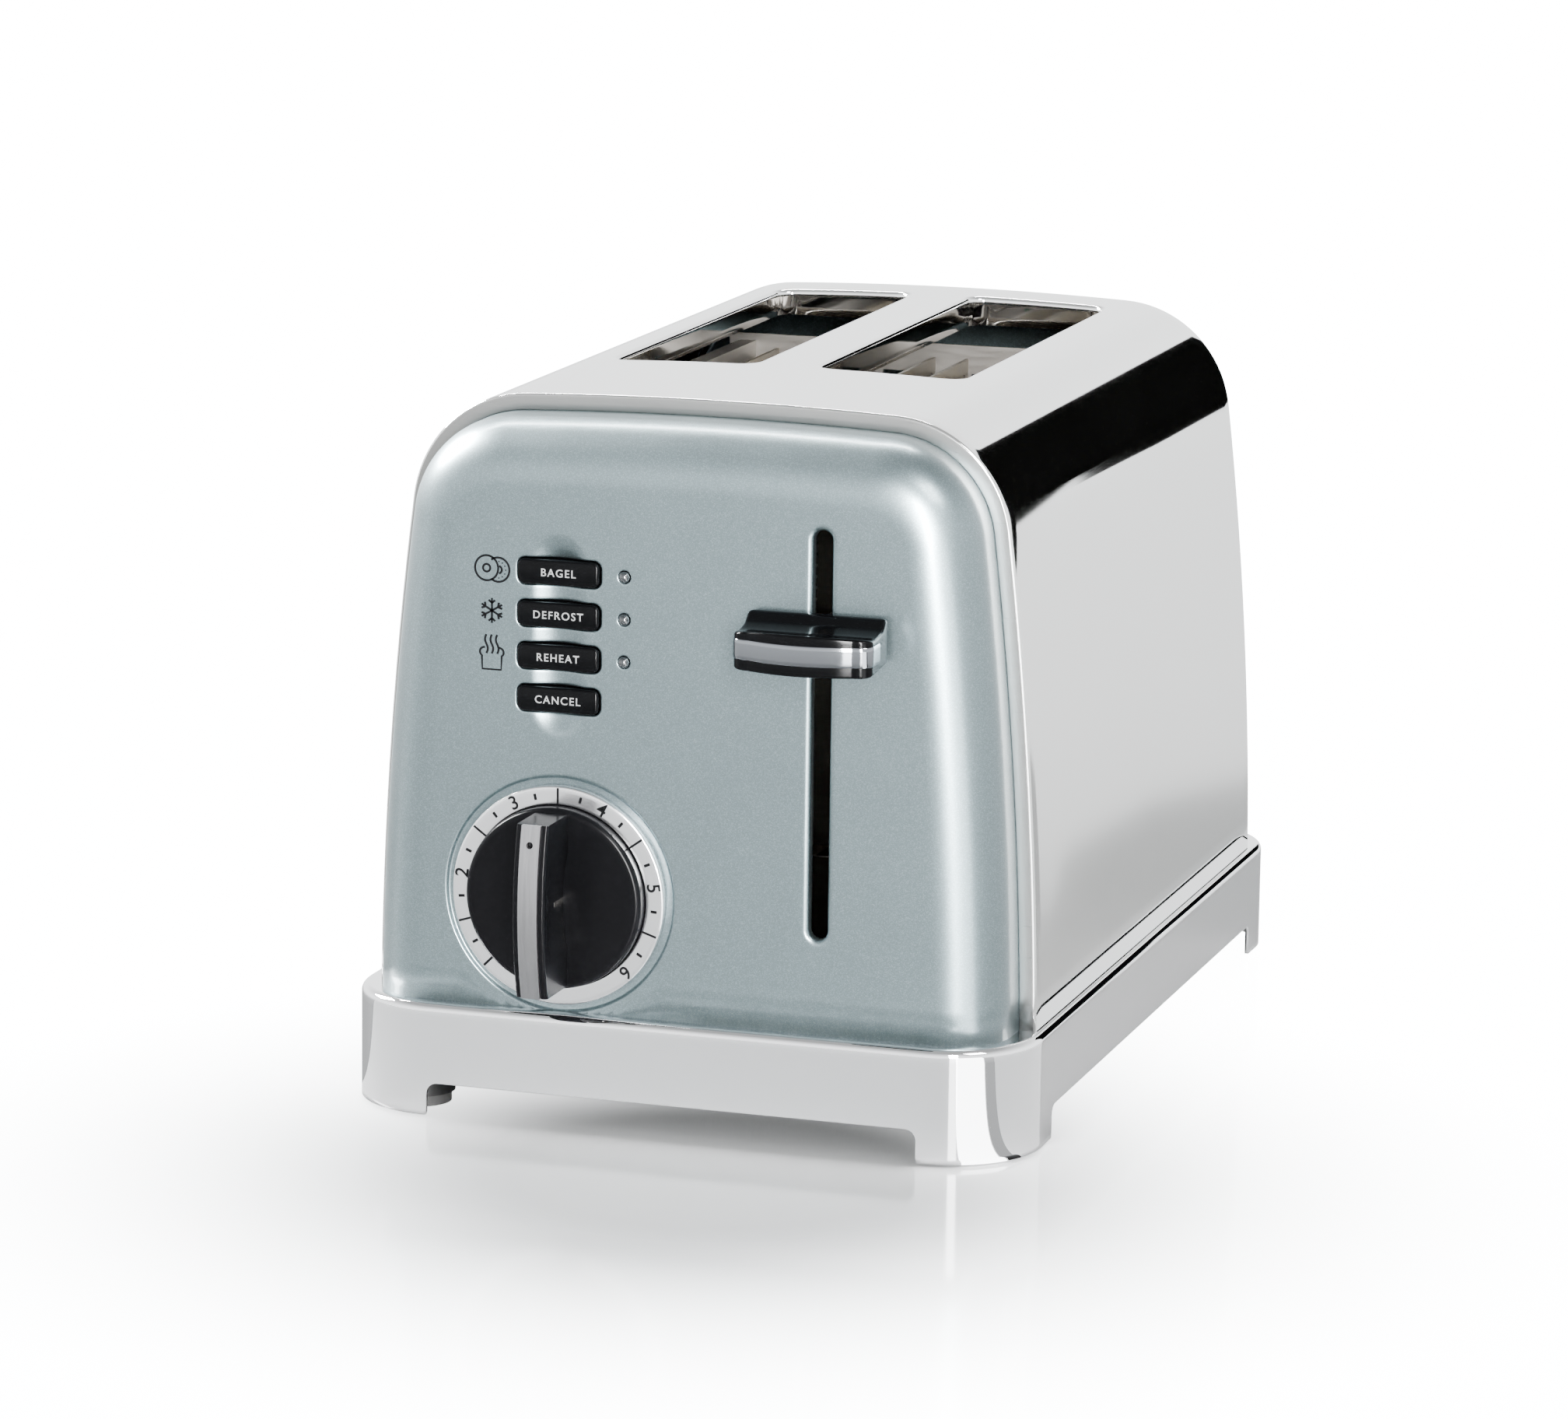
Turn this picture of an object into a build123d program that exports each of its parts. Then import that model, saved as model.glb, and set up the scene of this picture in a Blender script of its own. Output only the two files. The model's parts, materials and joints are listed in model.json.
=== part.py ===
"""A two-slot pop-up toaster: chromed base, steel wrap, painted end panels and a working lift.

Millimetres, +Z up.  The origin is on the floor, under the middle of the overall footprint.
The controls face -Y, and the crumb tray leaves at +Y.
"""
from build123d import *
import math
import os

# ---------------------------------------------------------------- driving sizes
BASE_WIDTH = 188.0        # skirt, across the two slots
BASE_LENGTH = 288.0       # skirt, along the slots
BASE_CORNER = 26.0        # plan radius of the skirt's corners
BASE_TOP = 31.2           # the ledge that the upper body stands on
BASE_WALL = 1.2
BASE_ROUND = 2.2          # rolled top edge of the skirt
LEDGE_DEPTH = 15.0        # width of the skirt's inward flange
SKIRT_LIFT = 0.8          # the skirt clears the floor; the rubber feet carry the weight
NOTCH_TOP = 9.6           # height of the cut-outs between the corner legs
NOTCH_HALF_X = 67.5
NOTCH_HALF_Y = 108.0
NOTCH_ROUND = 3.0

HEIGHT = 192.0            # top of the wrap
WRAP_HALF_WIDTH = 91.4    # widest half width of the wrap's arch
SIDE_LEAN = 8.97          # the barrel-shaped sides lean in by this up to the shoulder
SIDE_LEVEL = 15.0         # height at which a side would be upright
TOP_RADIUS = 1100.0       # slight crown across the top
SHOULDER = 33.0           # radius between side and top
WRAP_LENGTH = 232.0
WRAP_WALL = 1.0
WRAP_RIM = 4.2            # inward rim at each end of the wrap
RIM_ROUND = 2.6

PANEL_INSET = 4.5         # end panel, in from the wrap's outline
PANEL_SETBACK = 5.0       # panel face, behind the skirt's end
PANEL_WALL = 1.8
PANEL_ROUND = 16.0
PANEL_LAP = 7.0           # how far a panel reaches in under the wrap

SLOT_WIDTH = 40.0         # bread slots
SLOT_LENGTH = 150.0
SLOT_CORNER = 5.0
SLOT_X = 29.0
SLOT_OFFSET = 24.0        # slots sit towards the rear of the base
LIP_DEPTH = 9.0           # turned-down lip round each slot
LIP_WALL = 1.0
LIP_ROUND = 0.8

DIAL_X = -32.1
DIAL_RADIUS = 29.3        # chromed ring
DIAL_GAP = 2.1            # ring, above the ledge
RING_WIDTH = 5.1          # printed ring, outside the knob
KNOB_REACH = 25.0         # grip bar, ahead of the panel face
GRIP_WIDTH = 8.6
GRIP_LENGTH = 46.0
STRIP_WIDTH = 5.2
DIAL_RECESS = 0.9
RECESS_GAP = 1.6          # recess, outside the chromed ring
RECESS_ROUND = 0.7
BEZEL_REACH = 1.8         # chromed ring, ahead of the panel face
BEZEL_ROUND = 0.5
BEZEL_FLOOR = 0.9
KNOB_DISC = 6.0           # knob's disc, ahead of the panel face
KNOB_ROUND = 1.6
GRIP_BOW = 3.2            # the grip's front bows forward by this in the middle
GRIP_WAIST = 1.4          # each flank of the grip is hollowed by this
GRIP_FLANK_RADIUS = 60.0
GRIP_ROUND = 0.7
STRIP_SINK = 0.6          # strip, let in behind the grip's front
STRIP_BOW = 3.4
STRIP_WALL = 1.2
STRIP_HOLE_RADIUS = 0.9
STRIP_HOLE_DROP = 5.0
SHAFT_REACH = 12.0        # knob shaft's tip, ahead of the panel face
SHAFT_RADIUS = 3.0
POT_SIZE = 17.0
POT_DEPTH = 8.0

BUTTON_X = -32.7
BUTTON_DROP = 0.4         # button column, below the middle of the flat face above the dial
BUTTON_PITCH = 11.2
BUTTON_WIDTH = 22.4
BUTTON_HEIGHT = 6.6
BUTTON_CORNER = 1.8
BUTTON_TRAVEL = 2.0
BUTTON_REACH = 1.6
BUTTON_ROUND = 1.0
FLANGE_WALL = 1.2
FLANGE_MARGIN = 2.0       # flange behind the panel, wider than the button by this
PUSHER_SIZE = 4.0
SWITCH_SIZE = 6.0
SWITCH_DEPTH = 3.4
PLUNGER_RADIUS = 1.5
HOUSING_WALL = 1.5
HOUSING_GAP = 1.5
SCOOP_WIDTH = 13.0        # finger groove behind the buttons
SCOOP_DEPTH = 2.0
SCOOP_ROUND = 2.5
LED_X = -14.8
LED_RADIUS = 1.5
LED_SIZE = 3.0
PCB_WALL = 1.6
PCB_DEPTH = 15.0          # control board, behind the panel face
PCB_X = (-60.0, -5.0)
PCB_MARGIN = 9.9          # board, above the top button's middle
PCB_DROP = 20.6           # board, below the dial's middle
STANDOFF_INSET = 4.0
STANDOFF_RADIUS = 2.5

LEVER_X = 38.6
LEVER_Z = 135.0
LEVER_WIDTH = 37.0
LEVER_HEIGHT = 11.0
LEVER_REACH = 21.0        # handle front, ahead of the panel face
LEVER_SLOT_WIDTH = 5.0
STEM_WIDTH = 3.6
STEM_HEIGHT = 10.0
CARRIAGE_DOWN = 70.0
CARRIAGE_LIFT = 16.0
SLOT_SPARE_LOW = 3.8      # lever slot, past the stem's travel
SLOT_SPARE_HIGH = 7.7
SLOT_RIM_ROUND = 1.0
HANDLE_GAP = 1.2          # handle, ahead of the panel face
HANDLE_BOW = 2.4
HANDLE_SADDLE = 2.6       # finger hollow in the handle's top
HANDLE_RIDGE = 2.2        # raised edge along the back of the handle's top
HANDLE_ROUND = 0.8
TRIM_HEIGHT = 5.4
TRIM_PROUD = 0.25
TRIM_WALL = 1.05
TRIM_RETURN = 12.0        # the trim wraps back along the handle's sides
LIFTER_Z = 116.0          # bread rests, at rest
LIFTER_WALL = 1.2
LIFTER_WIDTH = 14.0
LIFTER_SPARE = 3.0        # bread rest, past each end of a slot
LIFTER_HOLES = 10         # in each of two rows
LIFTER_HOLE = (8.0, 2.4)
ARM_SLOT = 5.0            # slots that the lifter arms run in
ARM_WIDTH = 3.0
ARM_HEIGHT = 7.0
CARRIAGE_HALF = 12.0      # carriage plate, below the bread rests
CARRIAGE_WIDTH = 78.0
CARRIAGE_GAP = 5.0        # carriage plate, ahead of the chassis plate
CARRIAGE_MIDDLE = 4.0
TAB_WIDTH = 52.0
TAB_MIDDLE = -9.0
TAB_REACH = 26.0
BUSH_WALL = 3.5
BUSH_WEB = 9.0
ROD_RADIUS = 3.0
ROD_TOP = 171.0
ROD_SETBACK = 13.0        # guide rod, ahead of the carriage plate
SPRING_X = 15.0
SPRING_RADIUS = 3.6
SPRING_WIRE = 0.45
SPRING_TURNS = 14
MAGNET_X = -21.0
MAGNET_AHEAD = 5.0        # magnet, ahead of the guide rod
MAGNET_WIDTH = 20.0
MAGNET_DEPTH = 9.0
MAGNET_TOP = 54.0
MAGNET_HEIGHT = 20.0
MAGNET_WINDOW = 4.0
MAGNET_YOKE = 3.0
COIL_WALL = 3.4
COIL_SPARE = 7.0
BRACKET_WIDTH = 26.0
BRACKET_DEPTH = 12.0
ARMATURE_WALL = 2.5
ARMATURE_SPARE = 1.0      # armature, wider than the magnet by this at each side

TRAY_HALF_WIDTH = 68.0
TRAY_HEIGHT = 7.0
TRAY_WALL = 0.8
TRAY_START = 4.0          # tray, behind the chassis front plate
PULL_REACH = 6.0          # tray pull, behind the skirt
PULL_MARGIN = 3.0
PULL_ROUND = 1.2
PULL_GRIP = (70.0, 5.0)   # finger groove in the pull
PULL_GRIP_DEPTH = 3.0
RAIL_LENGTH = 180.0
RAIL_OFFSET = 40.0

SHEET = 1.0               # chassis sheet
CHASSIS_HALF_WIDTH = 68.0
CHASSIS_TOP = 176.0
CHASSIS_FRONT = -62.0     # rear face of the front plate, from the base's middle
CHASSIS_REAR = 108.0      # front face of the rear plate, from the base's middle
BOARD_OFFSET = 24.0       # heater boards, each side of a slot's middle
BOARD_WALL = 1.0
BOARD_BOTTOM = 54.0
BOARD_TOP = 172.0
RIBBON = 0.3
RIBBON_HEIGHT = 2.2
RIBBON_TURNS = 13
RIBBON_MARGIN = 4.0       # notches for the ribbon, in from the board's ends
NOTCH_SHARE = 0.93        # of the board's height
CAGE_OFFSET = 18.5        # bread guides at rest, each side of a slot's middle
CAGE_TRAVEL = 8.0
CAGE_WIRE = 1.0           # wire radius
CAGE_BOTTOM = 62.0
CAGE_TOP = 166.0
CAGE_BARS = 7
CAGE_SPARE = 2.0
REFLECTOR_GAP = 7.0       # reflector, outside the outer heater board
REFLECTOR_WALL = 0.6
REFLECTOR_FLANGE = 5.0
REFLECTOR_LIFT = 12.0     # reflector, above the crumb tray
EAR_WIDTH = 18.0
EAR_HEIGHT = 12.0
EAR_FOOT = 10.0
EAR_SCREW_INSET = 3.5     # ear screws, out from the ledge's inner edge
PLATE_LIFT = 3.0          # end plates, above the crumb tray
ROD_TAB = (34.0, 22.0)    # bent tab that holds the guide rod's top
ROD_TAB_X = 8.0

INLET_X = -48.0
INLET_Z = 52.0
INLET_RADIUS = 8.0
INLET_RIM = 2.0
INLET_REACH = 5.0         # inlet's collar, behind the panel
INLET_DEPTH = 7.0         # inlet's barrel, inside the panel
INLET_ROUND = 1.5
CORD_HOLE_RADIUS = 3.8
VENT_COUNT = 9
VENT_PITCH = 9.0
VENT_LENGTH = 22.0
VENT_WIDTH = 3.0
VENT_DROP = 52.0          # rear vents, below the top
CONTACT = (14.0, 14.0, 18.0)
CONTACT_X = 58.5
CONTACT_Z = 62.0
CONTACT_TONGUE = (3.0, 4.0, 8.0)
TERMINAL = (24.0, 10.0, 12.0)
TERMINAL_Z = 46.0
TERMINAL_PITCH = 12.0
TERMINAL_HOLE_RADIUS = 2.0

FLOOR_Z = 10.0            # underside of the bottom plate
FLOOR_WALL = 1.5
FOOT_RADIUS = 8.5
FOOT_HEIGHT = 3.0
FOOT_ROUND = 0.8
FOOT_CUP = 1.0            # moulded cup round each foot
FLOOR_VENTS = 15
FLOOR_VENT_PITCH = 12.0
FLOOR_VENT = (90.0, 4.0)
POST_X = 76.0             # corner posts, over the feet
POST_Y = 126.0
SCREW_RADIUS = 1.5
HEAD_RADIUS = 3.0
HEAD_HEIGHT = 2.0
HEAD_SINK = 0.5           # bottom screw heads, above the feet's cups
SCREW_HOLE_RADIUS = 1.7
BOTTOM_SHANK = 14.0
CHASSIS_SHANK = 5.0
FIT = 0.3                 # clearance round parts that move or drop in
RUNNING = 0.05            # radial clearance of a shaft in its bore

# ---------------------------------------------------------------- worked-out places
SIDE_RISE = HEIGHT - SHOULDER - SIDE_LEVEL
SIDE_RADIUS = (SIDE_RISE ** 2 + SIDE_LEAN ** 2) / (2 * SIDE_LEAN)
DIAL_Z = BASE_TOP + DIAL_GAP + DIAL_RADIUS
KNOB_RADIUS = DIAL_RADIUS - RING_WIDTH
DIAL_TOP = DIAL_Z + DIAL_RADIUS
FLAT_TOP = HEIGHT - PANEL_INSET - PANEL_ROUND
BUTTON_NAMES = ["bagel", "defrost", "reheat", "cancel"]
BUTTON_SPAN = BUTTON_PITCH * (len(BUTTON_NAMES) - 1)
BUTTON_TOP_Z = (DIAL_TOP + FLAT_TOP + BUTTON_SPAN) / 2 - BUTTON_DROP
FRONT_REACH = KNOB_REACH - PANEL_SETBACK
MIDDLE = (FRONT_REACH - PULL_REACH) / 2
BASE_FRONT = MIDDLE - BASE_LENGTH / 2
BASE_REAR = MIDDLE + BASE_LENGTH / 2
WRAP_FRONT = MIDDLE - WRAP_LENGTH / 2
WRAP_REAR = MIDDLE + WRAP_LENGTH / 2
FACE = BASE_FRONT + PANEL_SETBACK
BACK_FACE = BASE_REAR - PANEL_SETBACK
SLOT_Y = MIDDLE + SLOT_OFFSET
PLATE_FRONT = MIDDLE + CHASSIS_FRONT
PLATE_REAR = MIDDLE + CHASSIS_REAR
FLOOR_TOP = FLOOR_Z + FLOOR_WALL
TRAY_BOTTOM = FLOOR_TOP + FIT
TRAY_TOP = TRAY_BOTTOM + TRAY_HEIGHT
LEVER_SLOT_BOTTOM = LEVER_Z - CARRIAGE_DOWN - STEM_HEIGHT / 2 - SLOT_SPARE_LOW
LEVER_SLOT_TOP = LEVER_Z + CARRIAGE_LIFT + STEM_HEIGHT / 2 + SLOT_SPARE_HIGH
CARRIAGE_Y = PLATE_FRONT - SHEET - CARRIAGE_GAP
CARRIAGE_BOTTOM = LIFTER_Z - CARRIAGE_HALF
ROD_Y = CARRIAGE_Y - ROD_SETBACK
MAGNET_Y = ROD_Y - MAGNET_AHEAD
ARMATURE_Z = MAGNET_TOP + CARRIAGE_DOWN + FIT
TAB_Z = ARMATURE_Z + ARMATURE_WALL
STEM_Y = CARRIAGE_Y - SHEET
HANDLE_BACK = FACE - HANDLE_GAP
HANDLE_FRONT = FACE - LEVER_REACH
BOARD_Y = FACE + PCB_DEPTH
BOARD_Z = (DIAL_Z - PCB_DROP, BUTTON_TOP_Z + PCB_MARGIN)
KNOB_BACK = FACE + DIAL_RECESS - BEZEL_FLOOR - FIT
KNOB_FACE = FACE - KNOB_DISC
SHAFT_TIP = FACE - SHAFT_REACH
STRIP_Y = FACE - KNOB_REACH + STRIP_SINK
BUTTON_FRONT = FACE - BUTTON_REACH
FLANGE_FRONT = FACE + PANEL_WALL + SCOOP_DEPTH + 2 * RUNNING + FIT
RECESS_RADIUS = DIAL_RADIUS + RECESS_GAP
CHAMBER_Y = (PLATE_FRONT + PLATE_REAR) / 2
CHAMBER_LENGTH = PLATE_REAR - PLATE_FRONT
BUTTON_HEIGHTS = [BUTTON_TOP_Z - BUTTON_PITCH * i for i in range(len(BUTTON_NAMES))]
SIDES = {"left": -1, "right": 1}

os.makedirs("parts", exist_ok=True)


def facing_front(y):
    """A sketch plane at depth y: its x is +X, its y is +Z, and it extrudes towards -Y."""
    return Plane(origin=(0, y, 0), x_dir=(1, 0, 0), z_dir=(0, -1, 0))


def facing_right(x):
    """A sketch plane at width x: its x is +Y, its y is +Z, and it extrudes towards +X."""
    return Plane(origin=(x, 0, 0), x_dir=(0, 1, 0), z_dir=(1, 0, 0))


def save(part, name):
    part.label = name
    export_step(part, f"parts/{name}.step")


def arch(section, inset, foot):
    """The body's cross-section, drawn in an open sketch, its sides parallel to the wrap's."""
    centre = WRAP_HALF_WIDTH - SIDE_RADIUS
    with Locations((centre, SIDE_LEVEL)):
        Circle(SIDE_RADIUS - inset)
    with Locations((-centre, SIDE_LEVEL)):
        Circle(SIDE_RADIUS - inset, mode=Mode.INTERSECT)
    with Locations((0, HEIGHT - TOP_RADIUS)):
        Circle(TOP_RADIUS - inset, mode=Mode.INTERSECT)
    with Locations((0, foot + HEIGHT)):
        Rectangle(2 * BASE_WIDTH, 2 * HEIGHT, mode=Mode.INTERSECT)
    corners = [corner for corner in section.vertices() if corner.Y > foot + 1]
    fillet(corners, SHOULDER - inset)


def arch_block(inset, foot, front, rear, rounding=0.0, ends=()):
    """A solid block of the arch from front to rear, with its end edges rounded on request."""
    with BuildPart() as block:
        with BuildSketch(facing_front(rear)) as section:
            arch(section, inset, foot)
        extrude(amount=rear - front)
        for end in ends:
            face = block.faces().sort_by(Axis.Y)[end]
            rim = [edge for edge in face.edges() if edge.center().Z > foot + 0.5]
            fillet(rim, rounding)
    return block.part


# ---------------------------------------------------------------- casing
def make_base_skirt():
    with BuildPart() as base_skirt:
        with BuildSketch(Plane.XY.offset(SKIRT_LIFT)):
            with Locations((0, MIDDLE)):
                RectangleRounded(BASE_WIDTH, BASE_LENGTH, BASE_CORNER)
        extrude(amount=BASE_TOP - SKIRT_LIFT)
        fillet(base_skirt.faces().sort_by(Axis.Z)[-1].edges(), BASE_ROUND)
        with BuildSketch(Plane.XY):
            with Locations((0, MIDDLE)):
                RectangleRounded(BASE_WIDTH - 2 * BASE_WALL, BASE_LENGTH - 2 * BASE_WALL,
                                 BASE_CORNER - BASE_WALL)
        extrude(amount=BASE_TOP - BASE_WALL, mode=Mode.SUBTRACT)
        with BuildSketch(Plane.XY):
            with Locations((0, MIDDLE)):
                RectangleRounded(BASE_WIDTH - 2 * LEDGE_DEPTH, BASE_LENGTH - 2 * LEDGE_DEPTH,
                                 BASE_CORNER - LEDGE_DEPTH)
        extrude(amount=BASE_TOP + 1, mode=Mode.SUBTRACT)
        with BuildSketch(Plane.XY.offset(FLOOR_TOP)):
            with Locations((0, MIDDLE)):
                with GridLocations(2 * POST_X, 2 * POST_Y, 2, 2):
                    Circle(SCREW_RADIUS * 3)
                    Circle(SCREW_RADIUS, mode=Mode.SUBTRACT)
        extrude(amount=BASE_TOP - BASE_WALL - FLOOR_TOP)
        with BuildSketch(facing_front(BASE_REAR + 1)):
            with Locations((0, NOTCH_TOP - HEIGHT / 2)):
                RectangleRounded(2 * NOTCH_HALF_X, HEIGHT, NOTCH_ROUND)
        extrude(amount=BASE_LENGTH + 2, mode=Mode.SUBTRACT)
        with BuildSketch(facing_right(-BASE_WIDTH / 2 - 1)):
            with Locations((MIDDLE, NOTCH_TOP - HEIGHT / 2)):
                RectangleRounded(2 * NOTCH_HALF_Y, HEIGHT, NOTCH_ROUND)
        extrude(amount=BASE_WIDTH + 2, mode=Mode.SUBTRACT)
        with BuildSketch(facing_front(BASE_REAR + 1)):
            with Locations((0, (TRAY_BOTTOM + TRAY_TOP) / 2)):
                Rectangle(2 * TRAY_HALF_WIDTH + 2 * FIT, TRAY_HEIGHT + 2 * FIT)
        extrude(amount=LEDGE_DEPTH - 2, mode=Mode.SUBTRACT)
        with BuildSketch(Plane.XY.offset(BASE_TOP - 3)):
            with Locations(*ear_places()):
                Circle(SCREW_RADIUS)
        extrude(amount=4, mode=Mode.SUBTRACT)
    save(base_skirt.part, "base_skirt")


def ear_places():
    """Screw places of the chassis ears, on the skirt's ledge."""
    x = BASE_WIDTH / 2 - LEDGE_DEPTH + EAR_SCREW_INSET
    ys = [PLATE_FRONT - SHEET - EAR_FOOT / 2, PLATE_REAR - EAR_FOOT / 2]
    return [(side * x, y) for side in SIDES.values() for y in ys]


def make_bottom_plate():
    clearance = BASE_WALL + FIT
    with BuildPart() as bottom_plate:
        with BuildSketch(Plane.XY.offset(FLOOR_Z)):
            with Locations((0, MIDDLE)):
                RectangleRounded(BASE_WIDTH - 2 * clearance, BASE_LENGTH - 2 * clearance,
                                 BASE_CORNER - clearance)
                with GridLocations(0, FLOOR_VENT_PITCH, 1, FLOOR_VENTS):
                    SlotOverall(*FLOOR_VENT, mode=Mode.SUBTRACT)
        extrude(amount=FLOOR_WALL)
        with BuildSketch(Plane.XY.offset(FOOT_HEIGHT)):
            with Locations((0, MIDDLE)):
                with GridLocations(2 * POST_X, 2 * POST_Y, 2, 2):
                    Circle(FOOT_RADIUS + FOOT_CUP)
        extrude(amount=FLOOR_Z - FOOT_HEIGHT)
        for side in SIDES.values():
            rail_x = side * (TRAY_HALF_WIDTH + FIT + SHEET / 2)
            with Locations((rail_x, MIDDLE + RAIL_OFFSET, FLOOR_TOP + TRAY_HEIGHT / 2)):
                Box(SHEET, RAIL_LENGTH, TRAY_HEIGHT)
        with Locations((0, MIDDLE, FOOT_HEIGHT)):
            with GridLocations(2 * POST_X, 2 * POST_Y, 2, 2):
                Cylinder(SCREW_HOLE_RADIUS, BASE_TOP, mode=Mode.SUBTRACT)
                Cylinder(HEAD_RADIUS + FIT, 2 * (HEAD_HEIGHT + HEAD_SINK), mode=Mode.SUBTRACT)
    save(bottom_plate.part, "bottom_plate")


def make_foot_pads():
    with BuildPart() as foot_pads:
        with BuildSketch():
            with Locations((0, MIDDLE)):
                with GridLocations(2 * POST_X, 2 * POST_Y, 2, 2):
                    Circle(FOOT_RADIUS)
                    Circle(HEAD_RADIUS + HEAD_SINK, mode=Mode.SUBTRACT)
        extrude(amount=FOOT_HEIGHT)
        fillet(foot_pads.faces().sort_by(Axis.Z)[0].outer_wire().edges(), FOOT_ROUND)
    save(foot_pads.part, "foot_pads")


def make_body_wrap():
    outside = arch_block(0, BASE_TOP, WRAP_FRONT, WRAP_REAR, RIM_ROUND, (0, -1))
    hollow = arch_block(WRAP_WALL, BASE_TOP - 1, WRAP_FRONT + WRAP_WALL, WRAP_REAR - WRAP_WALL)
    mouth = arch_block(WRAP_RIM, BASE_TOP - 1, WRAP_FRONT - 1, WRAP_REAR + 1)
    with BuildPart() as body_wrap:
        add(outside)
        add(hollow, mode=Mode.SUBTRACT)
        add(mouth, mode=Mode.SUBTRACT)
        with BuildSketch(Plane.XY.offset(HEIGHT - LIP_DEPTH)):
            with Locations((-SLOT_X, SLOT_Y), (SLOT_X, SLOT_Y)):
                RectangleRounded(SLOT_WIDTH + 2 * LIP_WALL, SLOT_LENGTH + 2 * LIP_WALL,
                                 SLOT_CORNER + LIP_WALL)
        extrude(amount=LIP_DEPTH + 1)
        add(outside, mode=Mode.INTERSECT)
        with BuildSketch(Plane.XY.offset(HEIGHT - LIP_DEPTH - 1)):
            with Locations((-SLOT_X, SLOT_Y), (SLOT_X, SLOT_Y)):
                RectangleRounded(SLOT_WIDTH, SLOT_LENGTH, SLOT_CORNER)
        extrude(amount=LIP_DEPTH + 2, mode=Mode.SUBTRACT)
        top = body_wrap.faces().sort_by(Axis.Z)[-1]
        fillet(top.inner_wires().edges(), LIP_ROUND)
    save(body_wrap.part, "body_wrap")


def scoop(radius_gain):
    """The finger groove's form: an upright cylinder with ball ends, set into the panel face."""
    radius = (SCOOP_WIDTH ** 2 / 4 + SCOOP_DEPTH ** 2) / (2 * SCOOP_DEPTH)
    axis_y = FACE - (radius - SCOOP_DEPTH)
    low = BUTTON_HEIGHTS[-1] - BUTTON_HEIGHT / 2
    high = BUTTON_HEIGHTS[0] + BUTTON_HEIGHT / 2
    with BuildPart() as form:
        with Locations((BUTTON_X, axis_y, (low + high) / 2)):
            Cylinder(radius + radius_gain, high - low)
        with Locations((BUTTON_X, axis_y, low), (BUTTON_X, axis_y, high)):
            Sphere(radius + radius_gain)
    return form.part


def end_panel(face, lap, front):
    """A hollow domed end panel: face is its outer plane, lap its hidden edge under the wrap."""
    near, far = (face, lap) if front else (lap, face)
    end = (0,) if front else (-1,)
    step = PANEL_WALL if front else -PANEL_WALL
    skin = arch_block(PANEL_INSET, BASE_TOP, near, far, PANEL_ROUND, end)
    inner_near, inner_far = (face + step, lap + 1) if front else (lap - 1, face + step)
    hollow = arch_block(PANEL_INSET + PANEL_WALL, BASE_TOP - 1, inner_near, inner_far,
                        PANEL_ROUND - PANEL_WALL, end)
    return skin, hollow


def make_front_panel():
    skin, hollow = end_panel(FACE, WRAP_FRONT + PANEL_LAP, True)
    groove = scoop(0)
    backing = scoop(PANEL_WALL)
    with BuildPart() as front_panel:
        add(skin)
        add(hollow, mode=Mode.SUBTRACT)
        add(backing)
        with Locations((0, FACE - BASE_LENGTH / 2, HEIGHT / 2)):
            Box(BASE_WIDTH, BASE_LENGTH, HEIGHT, mode=Mode.SUBTRACT)
        add(groove, mode=Mode.SUBTRACT)
        rim = [edge for edge in front_panel.faces().sort_by(Axis.Y)[0].edges()
               if abs(edge.center().X - BUTTON_X) < SCOOP_WIDTH
               and edge.center().Z > DIAL_Z + DIAL_RADIUS]
        fillet(rim, SCOOP_ROUND)
        with BuildSketch(facing_front(FACE + 4 * PANEL_WALL)):
            for z in BUTTON_HEIGHTS:
                with Locations((BUTTON_X, z)):
                    RectangleRounded(BUTTON_WIDTH + 2 * FIT, BUTTON_HEIGHT + 2 * FIT,
                                     BUTTON_CORNER + FIT)
            for z in BUTTON_HEIGHTS[:-1]:
                with Locations((LED_X, z)):
                    Circle(LED_RADIUS + 2 * RUNNING)
            with Locations((LEVER_X, (LEVER_SLOT_TOP + LEVER_SLOT_BOTTOM) / 2)):
                SlotOverall(LEVER_SLOT_TOP - LEVER_SLOT_BOTTOM, LEVER_SLOT_WIDTH, rotation=90)
            with Locations((DIAL_X, DIAL_Z)):
                Circle(KNOB_RADIUS / 3)
        extrude(amount=8 * PANEL_WALL, mode=Mode.SUBTRACT)
        with BuildSketch(facing_front(FACE + DIAL_RECESS)):
            with Locations((DIAL_X, DIAL_Z)):
                Circle(RECESS_RADIUS)
        extrude(amount=PANEL_WALL, mode=Mode.SUBTRACT)
        on_face = front_panel.edges().filter_by_position(Axis.Y, FACE - RUNNING, FACE + RUNNING)
        slot_rim = [edge for edge in on_face if abs(edge.center().X - LEVER_X) < LEVER_SLOT_WIDTH
                    and edge.center().Z > LEVER_SLOT_BOTTOM - 1]
        dial_rim = [edge for edge in on_face
                    if abs(edge.length - 2 * math.pi * RECESS_RADIUS) < 1]
        fillet(slot_rim, SLOT_RIM_ROUND)
        fillet(dial_rim, RECESS_ROUND)
    save(front_panel.part, "front_panel")


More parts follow.
